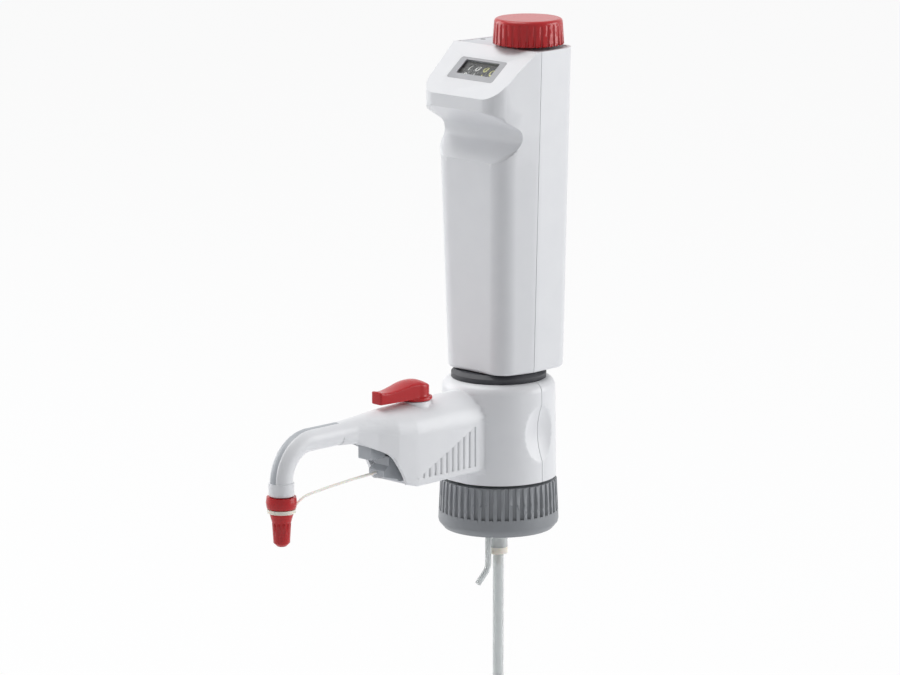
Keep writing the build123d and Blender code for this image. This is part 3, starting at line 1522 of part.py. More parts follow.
seat_bottom_z = filling_valve_bottom_z - filling_seat_thickness
with BuildPart() as filling_valve_seat:
    with BuildSketch(Plane.XZ):
        with BuildLine():
            Polyline(
                (ball_seat_radius, filling_valve_bottom_z),
                (filling_valve_radius, filling_valve_bottom_z),
                (filling_valve_radius, seat_bottom_z),
                (filling_tube_bore - push_fit, seat_bottom_z),
                (filling_tube_bore - push_fit, seat_bottom_z - nozzle_length),
                (ball_seat_radius - 0.2, seat_bottom_z - nozzle_length),
                (ball_seat_radius - 0.2, filling_valve_bottom_z - 1),
                (ball_seat_radius, filling_valve_bottom_z - 1),
                close=True,
            )
        make_face()
    revolve(axis=Axis.Z)
filling_valve_seat.part.label = "filling_valve_seat"

with BuildPart() as filling_ball:
    with Locations((0, 0, filling_valve_bottom_z + ball_height + running)):
        Sphere(ball_radius)
filling_ball.part.label = "filling_ball"

with BuildPart() as upper_filling_tube:
    with BuildSketch(Plane.XY.offset(upper_tube_bottom_z)):
        Circle(filling_tube_outer)
        Circle(filling_tube_bore, mode=Mode.SUBTRACT)
    extrude(amount=seat_bottom_z - upper_tube_bottom_z)
upper_filling_tube.part.label = "upper_filling_tube"

with BuildPart() as lower_filling_tube:
    with BuildSketch(Plane.XY.offset(lower_tube_bottom_z)):
        Circle(filling_tube_bore - running)
        Circle(filling_tube_bore - running - lower_tube_wall, mode=Mode.SUBTRACT)
    extrude(amount=lower_tube_top_z - lower_tube_bottom_z)
lower_filling_tube.part.label = "lower_filling_tube"

with BuildPart() as recirculation_tube:
    with BuildLine() as hook_path:
        FilletPolyline(
            (0, recirculation_y, filling_socket_z + 2 - sliding),
            (0, recirculation_y, -34),
            (0, recirculation_y - 6.5, -40),
            radius=[6],
        )
    with BuildSketch(Plane(origin=hook_path.line @ 0, z_dir=hook_path.line % 0)):
        Circle(recirculation_radius)
        Circle(recirculation_bore, mode=Mode.SUBTRACT)
    sweep(path=hook_path.line)
recirculation_tube.part.label = "recirculation_tube"


# Each finished piece goes to a file of its own
finished = [
    thread_collar, mouth_seal, valve_block, cover_screws, vent_cap, glass_cylinder, cylinder_sleeve,
    stop_ring, cylinder_nut, piston, piston_seal, piston_rod, housing_screws, top_plate, adjust_plug,
    display_bezel, display_lens, guide_bush, rod_clamp, counter_frame, volume_knob, knob_shaft,
    drive_gear, crown_gear, volume_spindle, spindle_gear, stop_carriage, lay_shaft, lay_gear,
    drum_gear, arm_shell, spout_inset, spout_nozzle, discharge_tube, discharge_ball,
    discharge_spring, valve_body, valve_plug, plug_seal, lever, discharge_union_nut,
    closure_cap, strap_loop, strap_holder, tube_clip, cap_strap, filling_valve, filling_valve_seat,
    filling_ball, upper_filling_tube, lower_filling_tube, recirculation_tube,
]
solids = [piece.part for piece in finished] + drums + [*cover_solids.values(), *handle_solids.values()]
for solid in solids:
    export_step(solid, f"parts/{solid.label}.step")
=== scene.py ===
"""Looks of a bottle-top dispenser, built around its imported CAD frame."""

import logging
import math
from dataclasses import dataclass, field
from enum import Enum
from typing import Any

import bmesh
import bpy
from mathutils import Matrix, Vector


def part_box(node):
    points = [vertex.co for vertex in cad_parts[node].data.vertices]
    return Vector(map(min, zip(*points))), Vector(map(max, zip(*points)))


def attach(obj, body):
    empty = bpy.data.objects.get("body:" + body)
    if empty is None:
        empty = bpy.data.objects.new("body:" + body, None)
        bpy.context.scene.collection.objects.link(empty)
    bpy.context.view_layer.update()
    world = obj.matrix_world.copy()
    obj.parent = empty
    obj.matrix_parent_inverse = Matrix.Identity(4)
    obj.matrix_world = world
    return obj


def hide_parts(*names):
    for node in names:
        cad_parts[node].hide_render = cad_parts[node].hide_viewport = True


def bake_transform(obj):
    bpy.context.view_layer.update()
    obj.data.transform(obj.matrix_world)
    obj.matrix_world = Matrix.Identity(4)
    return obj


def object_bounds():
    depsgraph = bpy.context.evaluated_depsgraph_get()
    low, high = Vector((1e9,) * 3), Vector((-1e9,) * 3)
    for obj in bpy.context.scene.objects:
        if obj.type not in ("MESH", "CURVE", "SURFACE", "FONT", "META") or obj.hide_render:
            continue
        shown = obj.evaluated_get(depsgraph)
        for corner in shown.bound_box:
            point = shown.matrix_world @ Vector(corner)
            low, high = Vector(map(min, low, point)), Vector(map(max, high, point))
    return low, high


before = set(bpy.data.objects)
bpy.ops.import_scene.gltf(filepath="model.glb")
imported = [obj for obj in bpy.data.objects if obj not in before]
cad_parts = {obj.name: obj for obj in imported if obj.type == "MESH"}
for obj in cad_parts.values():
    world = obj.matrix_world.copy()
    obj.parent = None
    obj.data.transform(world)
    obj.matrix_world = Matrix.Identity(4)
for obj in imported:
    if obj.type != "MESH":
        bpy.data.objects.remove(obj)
CAD_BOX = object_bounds()
MM = 0.001
# Corners of the frame's triangles that are closer than this are one corner
WELD_MM = 0.002
# Edges shorter than this are closed
SLIVER_MM = 0.001
# Size of the slow drift of a finish between its colour and its shade
DRIFT_MM = 9.0
# Share by which the roughness of a finish varies over its grain
GLOSS_SPREAD = 0.12
# Share of the grain's depth that the bump shows
BUMP_STRENGTH = 0.4
# How deep light goes into a finish that scatters it
SCATTER_MM = 2.0
log = logging.getLogger("dispenser")


def linear(colour: str) -> tuple[float, float, float, float]:
    """Turns an sRGB hex colour to linear values.

    Args:
        colour: six hex digits after a hash.

    Returns:
        Linear red, green, blue and an alpha of one.
    """
    parts = [int(colour[i:i + 2], 16) / 255 for i in (1, 3, 5)]
    turned = [p / 12.92 if p <= 0.04045 else ((p + 0.055) / 1.055) ** 2.4 for p in parts]
    return (turned[0], turned[1], turned[2], 1.0)


def add_node(
    tree: bpy.types.NodeTree,
    kind: str,
    settings: dict[Any, Any] | None = None,
    links: dict[Any, bpy.types.NodeSocket] | None = None,
) -> bpy.types.Node:
    """Adds a node with its settings and the links into it.

    Args:
        tree: node tree of a material or world.
        kind: Blender's name of the node type.
        settings: properties by name, or input values by name or index.
        links: sockets that feed the inputs, by name or index.

    Returns:
        The new node.
    """
    node = tree.nodes.new(kind)
    for key, value in (settings or {}).items():
        if isinstance(key, str) and hasattr(node, key):
            setattr(node, key, value)
        else:
            node.inputs[key].default_value = value
    for key, socket in (links or {}).items():
        tree.links.new(socket, node.inputs[key])
    return node


class Grain(Enum):
    """How the surface of a finish was made, which sets its pattern."""

    MOULDED = "moulded"
    SPARKED = "sparked"
    TURNED = "turned"
    GROUND = "ground"
    DRAWN = "drawn"


@dataclass(frozen=True)
class Finish:
    """A finish: its colours, gloss and surface pattern.

    Attributes:
        name: the material's name, after what the real one is and how it was made.
        slot: slot of the record that it belongs to; not used.
        colour: sRGB hex colour.
        shade: sRGB hex colour that it drifts to.
        roughness: its middle roughness.
        grain: how the surface was made.
        grain_mm: size of the grain.
        depth_mm: depth of the grain.
        metallic: 1 for a metal.
        ior: index of refraction of what isn't a metal.
        clear: share of the light that passes through.
        subsurface: share of the light that scatters below the surface.
    """

    name: str
    slot: str
    colour: str
    shade: str
    roughness: float
    grain: Grain = Grain.MOULDED
    grain_mm: float = 1.2
    depth_mm: float = 0.01
    metallic: float = 0.0
    ior: float = 1.5
    clear: float = 0.0
    subsurface: float = 0.0

    def stretch(self) -> tuple[float, float, float]:
        """Returns the pattern's scale along each axis, which draws or turns it in one direction."""
        if self.grain is Grain.DRAWN:
            return (1.0, 1.0, 0.06)
        if self.grain is Grain.TURNED:
            return (0.08, 0.08, 1.0)
        return (1.0, 1.0, 1.0)

    def material(self) -> bpy.types.Material:
        """Makes the material once and returns it from then on."""
        made = bpy.data.materials.get(self.name)
        if made is not None:
            return made
        made = bpy.data.materials.new(self.name)
        made.use_nodes = True
        tree = made.node_tree
        tree.nodes.clear()
        where = add_node(tree, "ShaderNodeTexCoord")
        placed = add_node(tree, "ShaderNodeMapping", {"Scale": self.stretch()},
                          {"Vector": where.outputs["Object"]})
        drift = add_node(tree, "ShaderNodeTexNoise",
                         {"Scale": 1 / (DRIFT_MM * MM), "Detail": 2.0, "Roughness": 0.5},
                         {"Vector": where.outputs["Object"]})
        grain = add_node(tree, "ShaderNodeTexNoise",
                         {"Scale": 1 / (self.grain_mm * MM), "Detail": 3.0, "Roughness": 0.6},
                         {"Vector": placed.outputs["Vector"]})
        tint = add_node(tree, "ShaderNodeMix",
                        {"data_type": "RGBA", 6: linear(self.colour), 7: linear(self.shade)},
                        {0: drift.outputs["Fac"]})
        gloss = add_node(tree, "ShaderNodeMapRange",
                         {"To Min": self.roughness * (1 - GLOSS_SPREAD),
                          "To Max": self.roughness * (1 + GLOSS_SPREAD)},
                         {"Value": grain.outputs["Fac"]})
        bump = add_node(tree, "ShaderNodeBump", {"Strength": BUMP_STRENGTH, "Distance": self.depth_mm * MM},
                        {"Height": grain.outputs["Fac"]})
        shader = add_node(
            tree, "ShaderNodeBsdfPrincipled",
            {"Metallic": self.metallic, "Transmission Weight": self.clear,
             "Subsurface Weight": self.subsurface, "Subsurface Scale": SCATTER_MM * MM},
            {"Base Color": tint.outputs[2], "Roughness": gloss.outputs["Result"],
             "Normal": bump.outputs["Normal"]},
        )
        if not self.metallic:
            shader.inputs["IOR"].default_value = self.ior
        add_node(tree, "ShaderNodeOutputMaterial", {}, {"Surface": shader.outputs["BSDF"]})
        return made


# Moulded ABS of the housings: pale and cool, half gloss, with a fine even skin
HOUSING = Finish(
    "moulded_pale_abs", "housing_plastic", "#e8e9eb", "#e3e4e7", 0.34, grain_mm=0.9, depth_mm=0.006,
)
# Spark-eroded ABS of the top plate: the same colour, duller and a little greyer
PLATE = Finish("sparked_pale_abs", "plate_plastic", "#d3d6da", "#cbced3", 0.5, Grain.SPARKED, 0.7, 0.02)
# Moulded polypropylene of what the hand turns or pulls: clear red, glossy
RED = Finish(
    "moulded_red_pp", "red_plastic", "#bd0b15", "#b20a13", 0.25, grain_mm=2.5, depth_mm=0.001, ior=1.46,
)
# Moulded polypropylene of the screw collar: mid grey, satin
COLLAR = Finish(
    "moulded_grey_pp", "collar_plastic", "#8d9094", "#85888c", 0.42, grain_mm=1.0, depth_mm=0.01,
)
# Dark moulded nylon of the ring nut, the top plug and the vent cap
DARK = Finish("moulded_dark_nylon", "dark_plastic", "#3a3b40", "#323338", 0.5, Grain.SPARKED, 0.8, 0.02)
# Light grey moulded polypropylene of strip, holder and clip: satin
STRIP = Finish(
    "moulded_light_grey_pp", "strip_plastic", "#b3b7bc", "#a9adb2", 0.42, grain_mm=1.0, depth_mm=0.01,
)
# Turned cream fluoropolymer of loop, valve seat and union nut: waxy
CREAM = Finish(
    "turned_cream_ptfe", "clip_plastic", "#f1ece0", "#e8e2d4", 0.5, Grain.TURNED, 0.6, 0.01,
    subsurface=0.1,
)
# White fluoropolymer seals: soft, waxy
SEAL = Finish(
    "skived_white_ptfe", "seal", "#f0f0ee", "#e8e8e5", 0.5, Grain.TURNED, 0.6, 0.01, subsurface=0.1,
)
# Machined fluoropolymer of the valve parts: dull white with turning rings
BLOCK = Finish("machined_white_ptfe", "block_plastic", "#dfe1e3", "#d6d9db", 0.48, Grain.TURNED, 0.7, 0.015)
# Ground borosilicate glass of the cylinder
GLASS = Finish(
    "drawn_borosilicate", "glass", "#f3f7f7", "#eef4f4", 0.04, Grain.DRAWN, 2.0, 0.002, ior=1.47,
    clear=1.0,
)
# Smooth pale moulded sleeve over the cylinder
SLEEVE = Finish(
    "moulded_pale_sleeve", "sleeve_plastic", "#dadde1", "#d2d6da", 0.3, grain_mm=1.0, depth_mm=0.006,
)
# Cast acrylic window of the display
LENS = Finish(
    "cast_clear_acrylic", "lens", "#fbfcfc", "#f6f8f8", 0.02, grain_mm=3.0, depth_mm=0.0, clear=1.0,
)
# Extruded fluoropolymer tube and cord: milky and translucent, drawn lengthways
TUBE = Finish(
    "extruded_milky_ptfe", "tube_plastic", "#f2f4f4", "#e9eded", 0.2, Grain.DRAWN, 0.8, 0.006, ior=1.38,
    clear=0.55,
)
CORD = Finish(
    "extruded_white_cord", "tube_plastic", "#f4f2ec", "#ebe8e0", 0.4, Grain.DRAWN, 0.8, 0.006,
    subsurface=0.2,
)
# Ground alumina of the balls and the piston
CERAMIC = Finish("ground_alumina", "ceramic", "#f3f1ea", "#ece9e0", 0.2, Grain.GROUND, 0.5, 0.004)
# Turned stainless steel of rods, shafts, screws and the spring
STEEL = Finish(
    "turned_stainless_steel", "steel", "#b9babd", "#a6a8ac", 0.28, Grain.TURNED, 0.35, 0.01,
    metallic=1.0,
)
# Moulded acetal of the gears and the carriage: off-white, half matt
ACETAL = Finish(
    "moulded_natural_acetal", "gear_plastic", "#eeebdd", "#e4e0d0", 0.4, grain_mm=0.8, depth_mm=0.01,
)
# Grey moulded frame and clamp inside the handle
FRAME_GREY = Finish(
    "moulded_grey_frame", "frame_plastic", "#8c9096", "#82868c", 0.5, Grain.SPARKED, 0.8, 0.02,
)
# Sanded grey moulding of the display's frame: dull and even
BEZEL = Finish("sanded_grey_bezel", "dark_plastic", "#b4b5b8", "#9d9ea2", 0.45, Grain.SPARKED, 0.5, 0.03)
# Matt black of the digit drums, and the inks of their digits
DRUM = Finish("moulded_black_drum", "drum_plastic", "#17181b", "#1d1e22", 0.55, Grain.SPARKED, 0.6, 0.01)
WHITE_INK = Finish(
    "printed_white_ink", "drum_plastic", "#f2f2ee", "#e6e6e0", 0.6, grain_mm=0.4, depth_mm=0.004,
)
YELLOW_INK = Finish(
    "printed_yellow_ink", "drum_plastic", "#e3e08a", "#d8d47a", 0.6, grain_mm=0.4, depth_mm=0.004,
)


def finish_mesh(mesh: bpy.types.Mesh, finish: Finish, smooth_deg: float) -> None:
    """Gives a mesh its material, and shades it smooth where its faces meet below an angle.

    Args:
        mesh: mesh to dress.
        finish: finish of all its faces.
        smooth_deg: widest angle in degrees that is still shaded smooth.
    """
    mesh.materials.clear()
    mesh.materials.append(finish.material())
    mesh.shade_smooth()
    mesh.set_sharp_from_angle(angle=math.radians(smooth_deg))


def place(
    name: str,
    mesh: bpy.types.Mesh,
    body: str,
    finish: Finish,
    smooth_deg: float = 32.0,
    nodes: tuple[str, ...] = (),
) -> bpy.types.Object:
    """Links a finished mesh as a piece of a body.

    Args:
        name: the piece's name.
        mesh: its mesh, in place in the frame.
        body: CAD body that it moves with.
        finish: its finish.
        smooth_deg: widest angle in degrees that is still shaded smooth.
        nodes: CAD nodes that it stands for.

    Returns:
        The piece.
    """
    finish_mesh(mesh, finish, smooth_deg)
    piece = bpy.data.objects.new(name, mesh)
    bpy.context.scene.collection.objects.link(piece)
    if nodes:
        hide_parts(*nodes)
    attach(piece, body)
    log.info("piece %s on body %s", name, body)
    return piece


def from_bmesh(name: str, shape: bmesh.types.BMesh) -> bpy.types.Mesh:
    """Turns a bmesh to a mesh and frees it.

    Args:
        name: the mesh's name.
        shape: the bmesh.

    Returns:
        The mesh.
    """
    mesh = bpy.data.meshes.new(name)
    shape.to_mesh(mesh)
    shape.free()
    return mesh


@dataclass
class SubAssembly:
    """Pieces that move with one CAD body."""

    body: str

    def skin(self, node: str, finish: Finish, smooth_deg: float = 26.0) -> bpy.types.Object:
        """Makes a joined, smooth-shaded skin in a CAD node's shape and hides the node.

        Args:
            node: CAD node.
            finish: its finish.
            smooth_deg: widest angle in degrees that is still shaded smooth.

        Returns:
            The skin.
        """
        shape = bmesh.new()
        shape.from_mesh(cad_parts[node].data)
        bmesh.ops.remove_doubles(shape, verts=shape.verts, dist=WELD_MM * MM)
        bmesh.ops.dissolve_degenerate(shape, dist=SLIVER_MM * MM, edges=shape.edges)
        mesh = from_bmesh(f"{node}_skin", shape)
        piece = place(f"{node}_skin", mesh, self.body, finish, smooth_deg, (node,))
        weighted = piece.modifiers.new("flat_faces", "WEIGHTED_NORMAL")
        weighted.mode = "FACE_AREA"
        weighted.keep_sharp = True
        return piece

    def dress(self, node: str, finish: Finish) -> None:
        """Gives a CAD node that stays its finish.

        Args:
            node: CAD node.
            finish: its finish.
        """
        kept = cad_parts[node]
        kept.data.materials.clear()
        kept.data.materials.append(finish.material())


@dataclass
class DressedParts(SubAssembly):
    """Nodes of one body in their CAD shape: skins on what shows, and finishes on what is inside."""

    skins: dict[str, Finish] = field(default_factory=dict)
    inner: dict[str, Finish] = field(default_factory=dict)

    def build(self) -> None:
        """Skins the visible nodes and dresses the inner ones."""
        for node, finish in self.skins.items():
            self.skin(node, finish)
        for node, finish in self.inner.items():
            self.dress(node, finish)


@dataclass(frozen=True)
class Softbox:
    """A large square lamp: its place and side in metres, and its power in watts."""

    name: str
    at: tuple[float, float, float]
    side: float
    power: float


@dataclass
class Studio:
    """Camera, lights, floor and background."""

    camera_at: tuple[float, float, float] = (1.49198, -1.52356, 0.50716)
    tilt_deg: float = 11.577
    turn_deg: float = 44.982
    lens_mm: float = 196.0
    sensor_mm: float = 36.0
    nearest_m: float = 0.05
    farthest_m: float = 30.0
    lamp_aim: tuple[float, float, float] = (0, -0.03, 0.09)
    softboxes: tuple[Softbox, ...] = (
        Softbox("left_softbox", (-1.8, -0.6, 0.6), 1.3, 16.0),
        Softbox("right_softbox", (1.4, 1.5, 0.5), 1.3, 24.0),
        Softbox("top_softbox", (-0.5, -0.3, 1.8), 1.2, 20.0),
    )
    sky_colour: str = "#f3f4f6"
    sky_strength: float = 0.33
    floor_colour: str = "#f2f3f5"
    floor_white: float = 0.93
    floor_half_m: float = 6.0
    floor_cells: int = 4
    floor_gap_mm: float = 0.5

    def camera(self) -> None:
        """Puts the camera at the photograph's viewing angle."""
        data = bpy.data.cameras.new("camera")
        data.lens = self.lens_mm
        data.sensor_width = self.sensor_mm
        data.clip_start = self.nearest_m
        data.clip_end = self.farthest_m
        camera = bpy.data.objects.new("camera", data)
        camera.location = self.camera_at
        camera.rotation_euler = (math.radians(90 - self.tilt_deg), 0, math.radians(self.turn_deg))
        bpy.context.scene.collection.objects.link(camera)
        bpy.context.scene.camera = camera

    def softbox(self, box: Softbox) -> None:
        """Adds a softbox that faces the object's middle.

        Args:
            box: the softbox.
        """
        data = bpy.data.lights.new(box.name, "AREA")
        data.shape = "SQUARE"
        data.size = box.side
        data.energy = box.power
        lamp = bpy.data.objects.new(box.name, data)
        lamp.location = box.at
        aim = Vector(self.lamp_aim) - Vector(box.at)
        lamp.rotation_euler = aim.to_track_quat("-Z", "Y").to_euler()
        bpy.context.scene.collection.objects.link(lamp)

    def seen_rays(self, tree: bpy.types.NodeTree) -> bpy.types.NodeSocket:
        """Adds the test for the rays that show the background.

        Args:
            tree: node tree of the world or the floor's material.

        Returns:
            A socket that is 1 for rays from the camera and for mirrored and passing rays, else 0.
        """
        path = add_node(tree, "ShaderNodeLightPath")
        direct = add_node(tree, "ShaderNodeMath", {"operation": "MAXIMUM"},
                          {0: path.outputs["Is Camera Ray"], 1: path.outputs["Is Transmission Ray"]})
        either = add_node(tree, "ShaderNodeMath", {"operation": "MAXIMUM"},
                          {0: direct.outputs[0], 1: path.outputs["Is Glossy Ray"]})
        return either.outputs[0]

    def world(self) -> None:
        """Makes the soft light from all around, and white for the camera and what mirrors or passes light."""
        world = bpy.data.worlds.new("studio")
        bpy.context.scene.world = world
        world.use_nodes = True
        tree = world.node_tree
        tree.nodes.clear()
        soft = add_node(tree, "ShaderNodeBackground",
                        {"Color": linear(self.sky_colour), "Strength": self.sky_strength})
        white = add_node(tree, "ShaderNodeBackground", {"Color": (1, 1, 1, 1), "Strength": 1.0})
        both = add_node(tree, "ShaderNodeMixShader", {},
                        {0: self.seen_rays(tree), 1: soft.outputs[0], 2: white.outputs[0]})
        add_node(tree, "ShaderNodeOutputWorld", {}, {"Surface": both.outputs[0]})

    def floor(self) -> None:
        """Lays the pale floor below the filling tube's end."""
        shape = bmesh.new()
        bmesh.ops.create_grid(shape, x_segments=self.floor_cells, y_segments=self.floor_cells,
                              size=self.floor_half_m)
        bmesh.ops.translate(shape, verts=shape.verts, vec=(0, 0, CAD_BOX[0][2] - self.floor_gap_mm * MM))
        mesh = from_bmesh("floor", shape)
        floor = bpy.data.objects.new("floor", mesh)
        bpy.context.scene.collection.objects.link(floor)
        paint = bpy.data.materials.new("pale_floor_paint")
        paint.use_nodes = True
        tree = paint.node_tree
        tree.nodes.clear()
        seen = add_node(tree, "ShaderNodeMath", {"operation": "MULTIPLY", 1: self.floor_white},
                        {0: self.seen_rays(tree)})
        matt = add_node(tree, "ShaderNodeBsdfDiffuse", {"Color": linear(self.floor_colour)})
        white = add_node(tree, "ShaderNodeEmission", {"Color": (1, 1, 1, 1), "Strength": 1.0})
        both = add_node(tree, "ShaderNodeMixShader", {},
                        {0: seen.outputs[0], 1: matt.outputs[0], 2: white.outputs[0]})
        add_node(tree, "ShaderNodeOutputMaterial", {}, {"Surface": both.outputs[0]})
        mesh.materials.append(paint)

    def build(self) -> None:
        """Sets up the camera, the lamps, the world and the floor."""
        self.camera()
        for box in self.softboxes:
            self.softbox(box)
        self.world()
        self.floor()
        bpy.context.scene.view_settings.view_transform = "Standard"


@dataclass
class ValveHead(DressedParts):
    """The valve block with its covers, seals and the tubes below it."""

    body: str = "block"

    skins: dict[str, Finish] = field(default_factory=lambda: {
        "block_front_cover": HOUSING, "block_rear_cover": HOUSING, "cylinder_nut": DARK,
        "cylinder_sleeve": SLEEVE, "filling_valve": TUBE, "filling_valve_seat": CREAM,
        "upper_filling_tube": TUBE, "recirculation_tube": TUBE, "vent_cap": DARK,
        "cover_screws": STEEL, "mouth_seal": SEAL, "valve_block": BLOCK,
    })
    inner: dict[str, Finish] = field(default_factory=lambda: {"glass_cylinder": GLASS, "stop_ring": SLEEVE})


@dataclass
class SpoutArm(DressedParts):
    """The arm with its discharge tube, valve body, nozzle, holder and clip."""

    body: str = "block"

    skins: dict[str, Finish] = field(default_factory=lambda: {
        "arm_shell": HOUSING, "spout_inset": STRIP, "spout_nozzle": HOUSING, "strap_holder": STRIP,
        "tube_clip": STRIP, "discharge_tube": TUBE, "discharge_union_nut": CREAM, "valve_body": BLOCK,
        "discharge_spring": STEEL,
    })


@dataclass
class Lever(SubAssembly):
    """The recirculation lever with the rounded edges and domed crown of its moulding.

    Attributes:
        voxel_mm: size of the even faces on which it is smoothed.
        passes: rounds of smoothing.
        reach_mm: from the valve's axis to the tip of the solid.
        shorter_mm: how much nearer the moulded tip is.
        lower_mm: how much lower the crown is along its middle.
        dome_mm: how far the crown falls off towards its sides.
        half_width_mm: half the width of the hub.
        crown_mm: length of the crown from the axis.
        disc_radius_mm: radius of the disc below the hub.
        disc_thickness_mm: thickness of the disc.
    """

    voxel_mm: float = 0.3
    passes: int = 14
    reach_mm: float = 26.0
    shorter_mm: float = 2.5
    lower_mm: float = 0.7
    dome_mm: float = 1.8
    half_width_mm: float = 6.4
    crown_mm: float = 12.0
    disc_radius_mm: float = 7.8
    disc_thickness_mm: float = 1.6

    def even_shape(self) -> bmesh.types.BMesh:
        """Returns the lever's CAD shape as small even faces, which can be bent and smoothed."""
        joined = bmesh.new()
        joined.from_mesh(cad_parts["lever"].data)
        bmesh.ops.remove_doubles(joined, verts=joined.verts, dist=WELD_MM * MM)
        holder = bpy.data.objects.new("lever_even", from_bmesh("lever_even", joined))
        bpy.context.scene.collection.objects.link(holder)
        even = holder.modifiers.new("even", "REMESH")
        even.mode = "VOXEL"
        even.voxel_size = self.voxel_mm * MM
        seen = holder.evaluated_get(bpy.context.evaluated_depsgraph_get())
        shape = bmesh.new()
        shape.from_mesh(bpy.data.meshes.new_from_object(seen))
        bpy.data.objects.remove(holder)
        return shape

    def grip(self) -> None:
        """Domes the lever's crown, draws in its tip and smooths its edges."""
        low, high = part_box("lever")
        hub_y = high.y - self.disc_radius_mm * MM
        disc_top = low.z + self.disc_thickness_mm * MM
        shape = self.even_shape()
        share = 1 - self.shorter_mm / self.reach_mm
        for vert in shape.verts:
            reach = max(0.0, hub_y - vert.co.y)
            height = min(1.0, max(0.0, (vert.co.z - disc_top) / (high.z - disc_top)))
            along = min(1.0, max(0.0, (self.reach_mm * MM - reach) / ((self.reach_mm - self.crown_mm) * MM)))
            off = max(abs(vert.co.x), vert.co.y - hub_y) / (self.half_width_mm * MM)
            drop = self.lower_mm * along * along * (3 - 2 * along) + self.dome_mm * min(1.0, off * off)
            vert.co.z -= drop * MM * height
            if reach:
                vert.co.y = hub_y - reach * share
        for _ in range(self.passes):
            bmesh.ops.smooth_vert(shape, verts=shape.verts, factor=0.5, use_axis_x=True, use_axis_y=True,
                                  use_axis_z=True)
        place("lever_skin", from_bmesh("lever_skin", shape), self.body, RED, 80.0, ("lever",))

    def build(self) -> None:
        """Builds the lever and dresses the plug that it turns."""
        self.grip()
        self.skin("valve_plug", BLOCK)
        self.dress("plug_seal", SEAL)


@dataclass
class CapStrap:
    """The thin cord from the strap holder to the loop round the closure cap.

    Attributes:
        route_mm: points of the route, the same as the solid's.
        length_mm: real length; not used.
        diameter_mm: thickness.
        span_steps: steps of the line from one point to the next.
        round_steps: fineness of the tube's round.
    """

    route_mm: tuple[tuple[float, float, float], ...] = (
        (0, -76.0, 21.4), (0, -90.0, 20.8), (0, -104.0, 19.7), (0, -114.0, 18.8), (0, -121.5, 17.5),
        (0, -125.3, 14.3),
    )
    length_mm: float = 50.6
    diameter_mm: float = 1.2
    span_steps: int = 24
    round_steps: int = 6

    def line(self, bevel_mm: float) -> bpy.types.Mesh:
        """Makes the cord's smooth line, or its tube where it has a bevel.

        Args:
            bevel_mm: radius of the tube, or 0 for the line alone.

        Returns:
            The mesh.
        """
        data = bpy.data.curves.new("strap_line", "CURVE")
        data.dimensions = "3D"
        data.resolution_u = self.span_steps
        data.bevel_depth = bevel_mm * MM
        data.bevel_resolution = self.round_steps
        data.use_fill_caps = True
        spline = data.splines.new("NURBS")
        spline.points.add(len(self.route_mm) - 1)
        for point, at in zip(spline.points, self.route_mm):
            point.co = (at[0] * MM, at[1] * MM, at[2] * MM, 1.0)
        spline.order_u = 3
        spline.use_endpoint_u = True
        holder = bpy.data.objects.new("strap_line", data)
        bpy.context.scene.collection.objects.link(holder)
        mesh = bpy.data.meshes.new_from_object(holder)
        bpy.data.objects.remove(holder)
        return mesh

    def build(self) -> None:
        """Builds the cord."""
        path = [tuple(vertex.co) for vertex in self.line(0.0).vertices]
        mesh = self.line(self.diameter_mm / 2)
        finish_mesh(mesh, CORD, 60.0)
        strap = bpy.data.objects.new("cap_cord", mesh)
        bpy.context.scene.collection.objects.link(strap)
        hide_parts("cap_strap")
        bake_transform(strap)
        log.info("piece cap_cord between bodies block and cap")


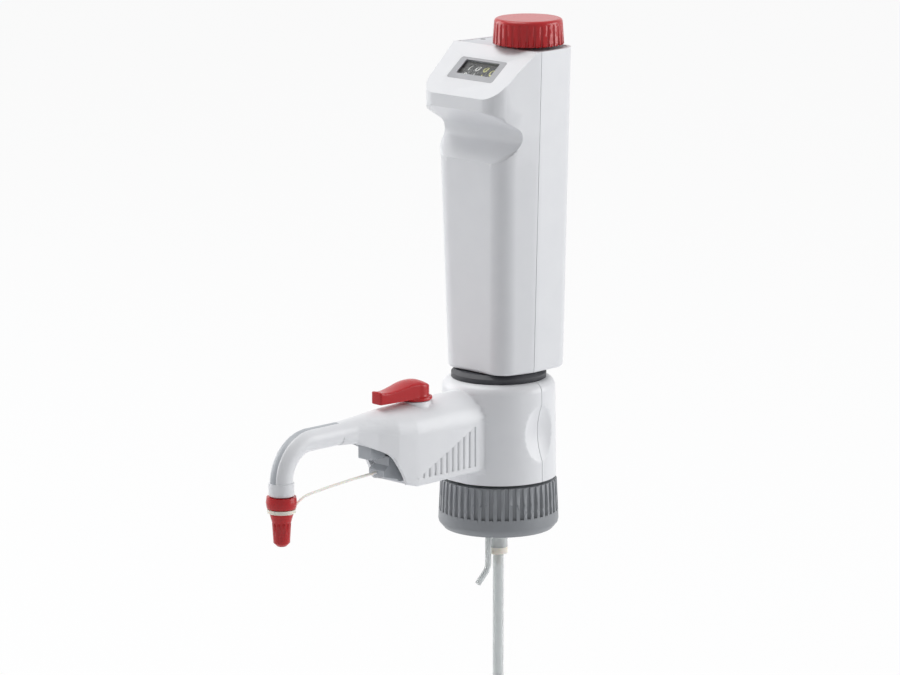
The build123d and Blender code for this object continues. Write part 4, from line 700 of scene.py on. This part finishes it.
@dataclass
class DigitDrum(SubAssembly):
    """One digit drum of the counter, with the ten digits printed round it.

    Attributes:
        node: the drum's CAD node.
        shown: digit in the window at rest.
        ink: finish of the digits.
        phase_deg: how far the shown digit is turned up from the face's middle.
        pitch_deg: angle from one digit to the next.
        width_mm: width of the drum.
        middle_mm: place of the drum's middle along X, where its node is wider than the drum.
        digit_height_mm: height of a digit.
        letter_share: letter size for one unit of a digit's height.
        bolder_mm: how much the strokes are thickened.
        print_height_mm: how far the print stands above the drum.
        slope_deg: slope of the display face.
        strips: strips into which a digit is cut.
    """

    node: str = ""
    shown: int = 0
    ink: Finish = WHITE_INK
    phase_deg: float = 12.0
    pitch_deg: float = 36.0
    width_mm: float = 4.5
    middle_mm: float | None = None
    digit_height_mm: float = 3.7
    letter_share: float = 1.42
    bolder_mm: float = 0.05
    print_height_mm: float = 0.03
    slope_deg: float = 38.1
    strips: int = 12

    def digit(self, value: int) -> bpy.types.Mesh:
        """Makes the flat mesh of one digit in millimetres, cut in strips that can bend round the drum.

        Args:
            value: the digit.

        Returns:
            The mesh.
        """
        data = bpy.data.curves.new("digit", "FONT")
        data.body = str(value)
        data.align_x = "CENTER"
        data.align_y = "CENTER"
        data.size = self.digit_height_mm * self.letter_share
        data.offset = self.bolder_mm
        holder = bpy.data.objects.new("digit", data)
        bpy.context.scene.collection.objects.link(holder)
        mesh = bpy.data.meshes.new_from_object(holder)
        bpy.data.objects.remove(holder)
        glyph = bmesh.new()
        glyph.from_mesh(mesh)
        bottom = min(vert.co.y for vert in glyph.verts)
        step = (max(vert.co.y for vert in glyph.verts) - bottom) / self.strips
        for strip in range(1, self.strips):
            bmesh.ops.bisect_plane(glyph, geom=[*glyph.verts, *glyph.edges, *glyph.faces],
                                   plane_co=(0, bottom + strip * step, 0), plane_no=(0, 1, 0))
        return from_bmesh("digit", glyph)

    def build(self) -> None:
        """Skins the drum and wraps its digits round it."""
        low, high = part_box(self.node)
        middle_x = low.x + self.width_mm * MM / 2 if self.middle_mm is None else self.middle_mm * MM
        centre = Vector((middle_x, (low.y + high.y) / 2, (low.z + high.z) / 2))
        radius = (high.z - low.z) / 2 + self.print_height_mm * MM
        slope = math.radians(self.slope_deg)
        outward = Vector((0, -math.sin(slope), math.cos(slope)))
        upward = Vector((0, math.cos(slope), math.sin(slope)))
        shape = bmesh.new()
        for value in range(10):
            known = len(shape.verts)
            shape.from_mesh(self.digit(value))
            fresh = list(shape.verts)[known:]
            low_v = min(vert.co.y for vert in fresh)
            high_v = max(vert.co.y for vert in fresh)
            at = math.radians((self.shown - value) * self.pitch_deg + self.phase_deg)
            for vert in fresh:
                turn = at + (vert.co.y - (low_v + high_v) / 2) * MM / radius
                vert.co = (centre + Vector((vert.co.x * MM, 0, 0))
                           + radius * (math.cos(turn) * outward + math.sin(turn) * upward))
        place(f"{self.node}_digits", from_bmesh(f"{self.node}_digits", shape), self.body, self.ink, 60.0)
        self.skin(self.node, DRUM)


def main() -> None:
    """Builds every sub-assembly in order."""
    Studio().build()
    CapStrap().build()
    ValveHead().build()
    SpoutArm().build()
    DressedParts("collar", skins={"thread_collar": COLLAR}).build()
    Lever("lever").build()
    DressedParts("cap", skins={"closure_cap": RED, "strap_loop": CREAM}).build()
    DressedParts("lower_tube", skins={"lower_filling_tube": TUBE}).build()
    DressedParts("filling_ball", inner={"filling_ball": CERAMIC}).build()
    DressedParts("discharge_ball", inner={"discharge_ball": CERAMIC}).build()
    DressedParts(
        "handle",
        skins={"front_housing": HOUSING, "rear_housing": HOUSING, "top_plate": PLATE, "adjust_plug": DARK,
               "display_bezel": BEZEL, "display_lens": LENS, "counter_frame": FRAME_GREY,
               "housing_screws": STEEL, "guide_bush": FRAME_GREY},
        inner={"piston": CERAMIC, "piston_rod": STEEL, "piston_seal": SEAL, "rod_clamp": FRAME_GREY},
    ).build()
    DressedParts("knob", skins={"volume_knob": RED},
                 inner={"knob_shaft": STEEL, "drive_gear": ACETAL, "crown_gear": ACETAL}).build()
    DressedParts("spindle", inner={"volume_spindle": STEEL, "spindle_gear": ACETAL}).build()
    DressedParts("carriage", inner={"stop_carriage": ACETAL}).build()
    DressedParts("lay_shaft", inner={"lay_shaft": STEEL, "lay_gear": ACETAL}).build()
    DigitDrum("tens", node="drum_tens", shown=1).build()
    DigitDrum("ones", node="drum_ones").build()
    DigitDrum("tenths", node="drum_tenths", ink=YELLOW_INK).build()
    DigitDrum("hundredths", node="drum_hundredths", ink=YELLOW_INK, phase_deg=0.0, middle_mm=7.2).build()
    DressedParts("hundredths", inner={"drum_gear": ACETAL}).build()


if __name__ == "__main__":
    logging.basicConfig(level=logging.INFO, format="%(message)s")
    main()
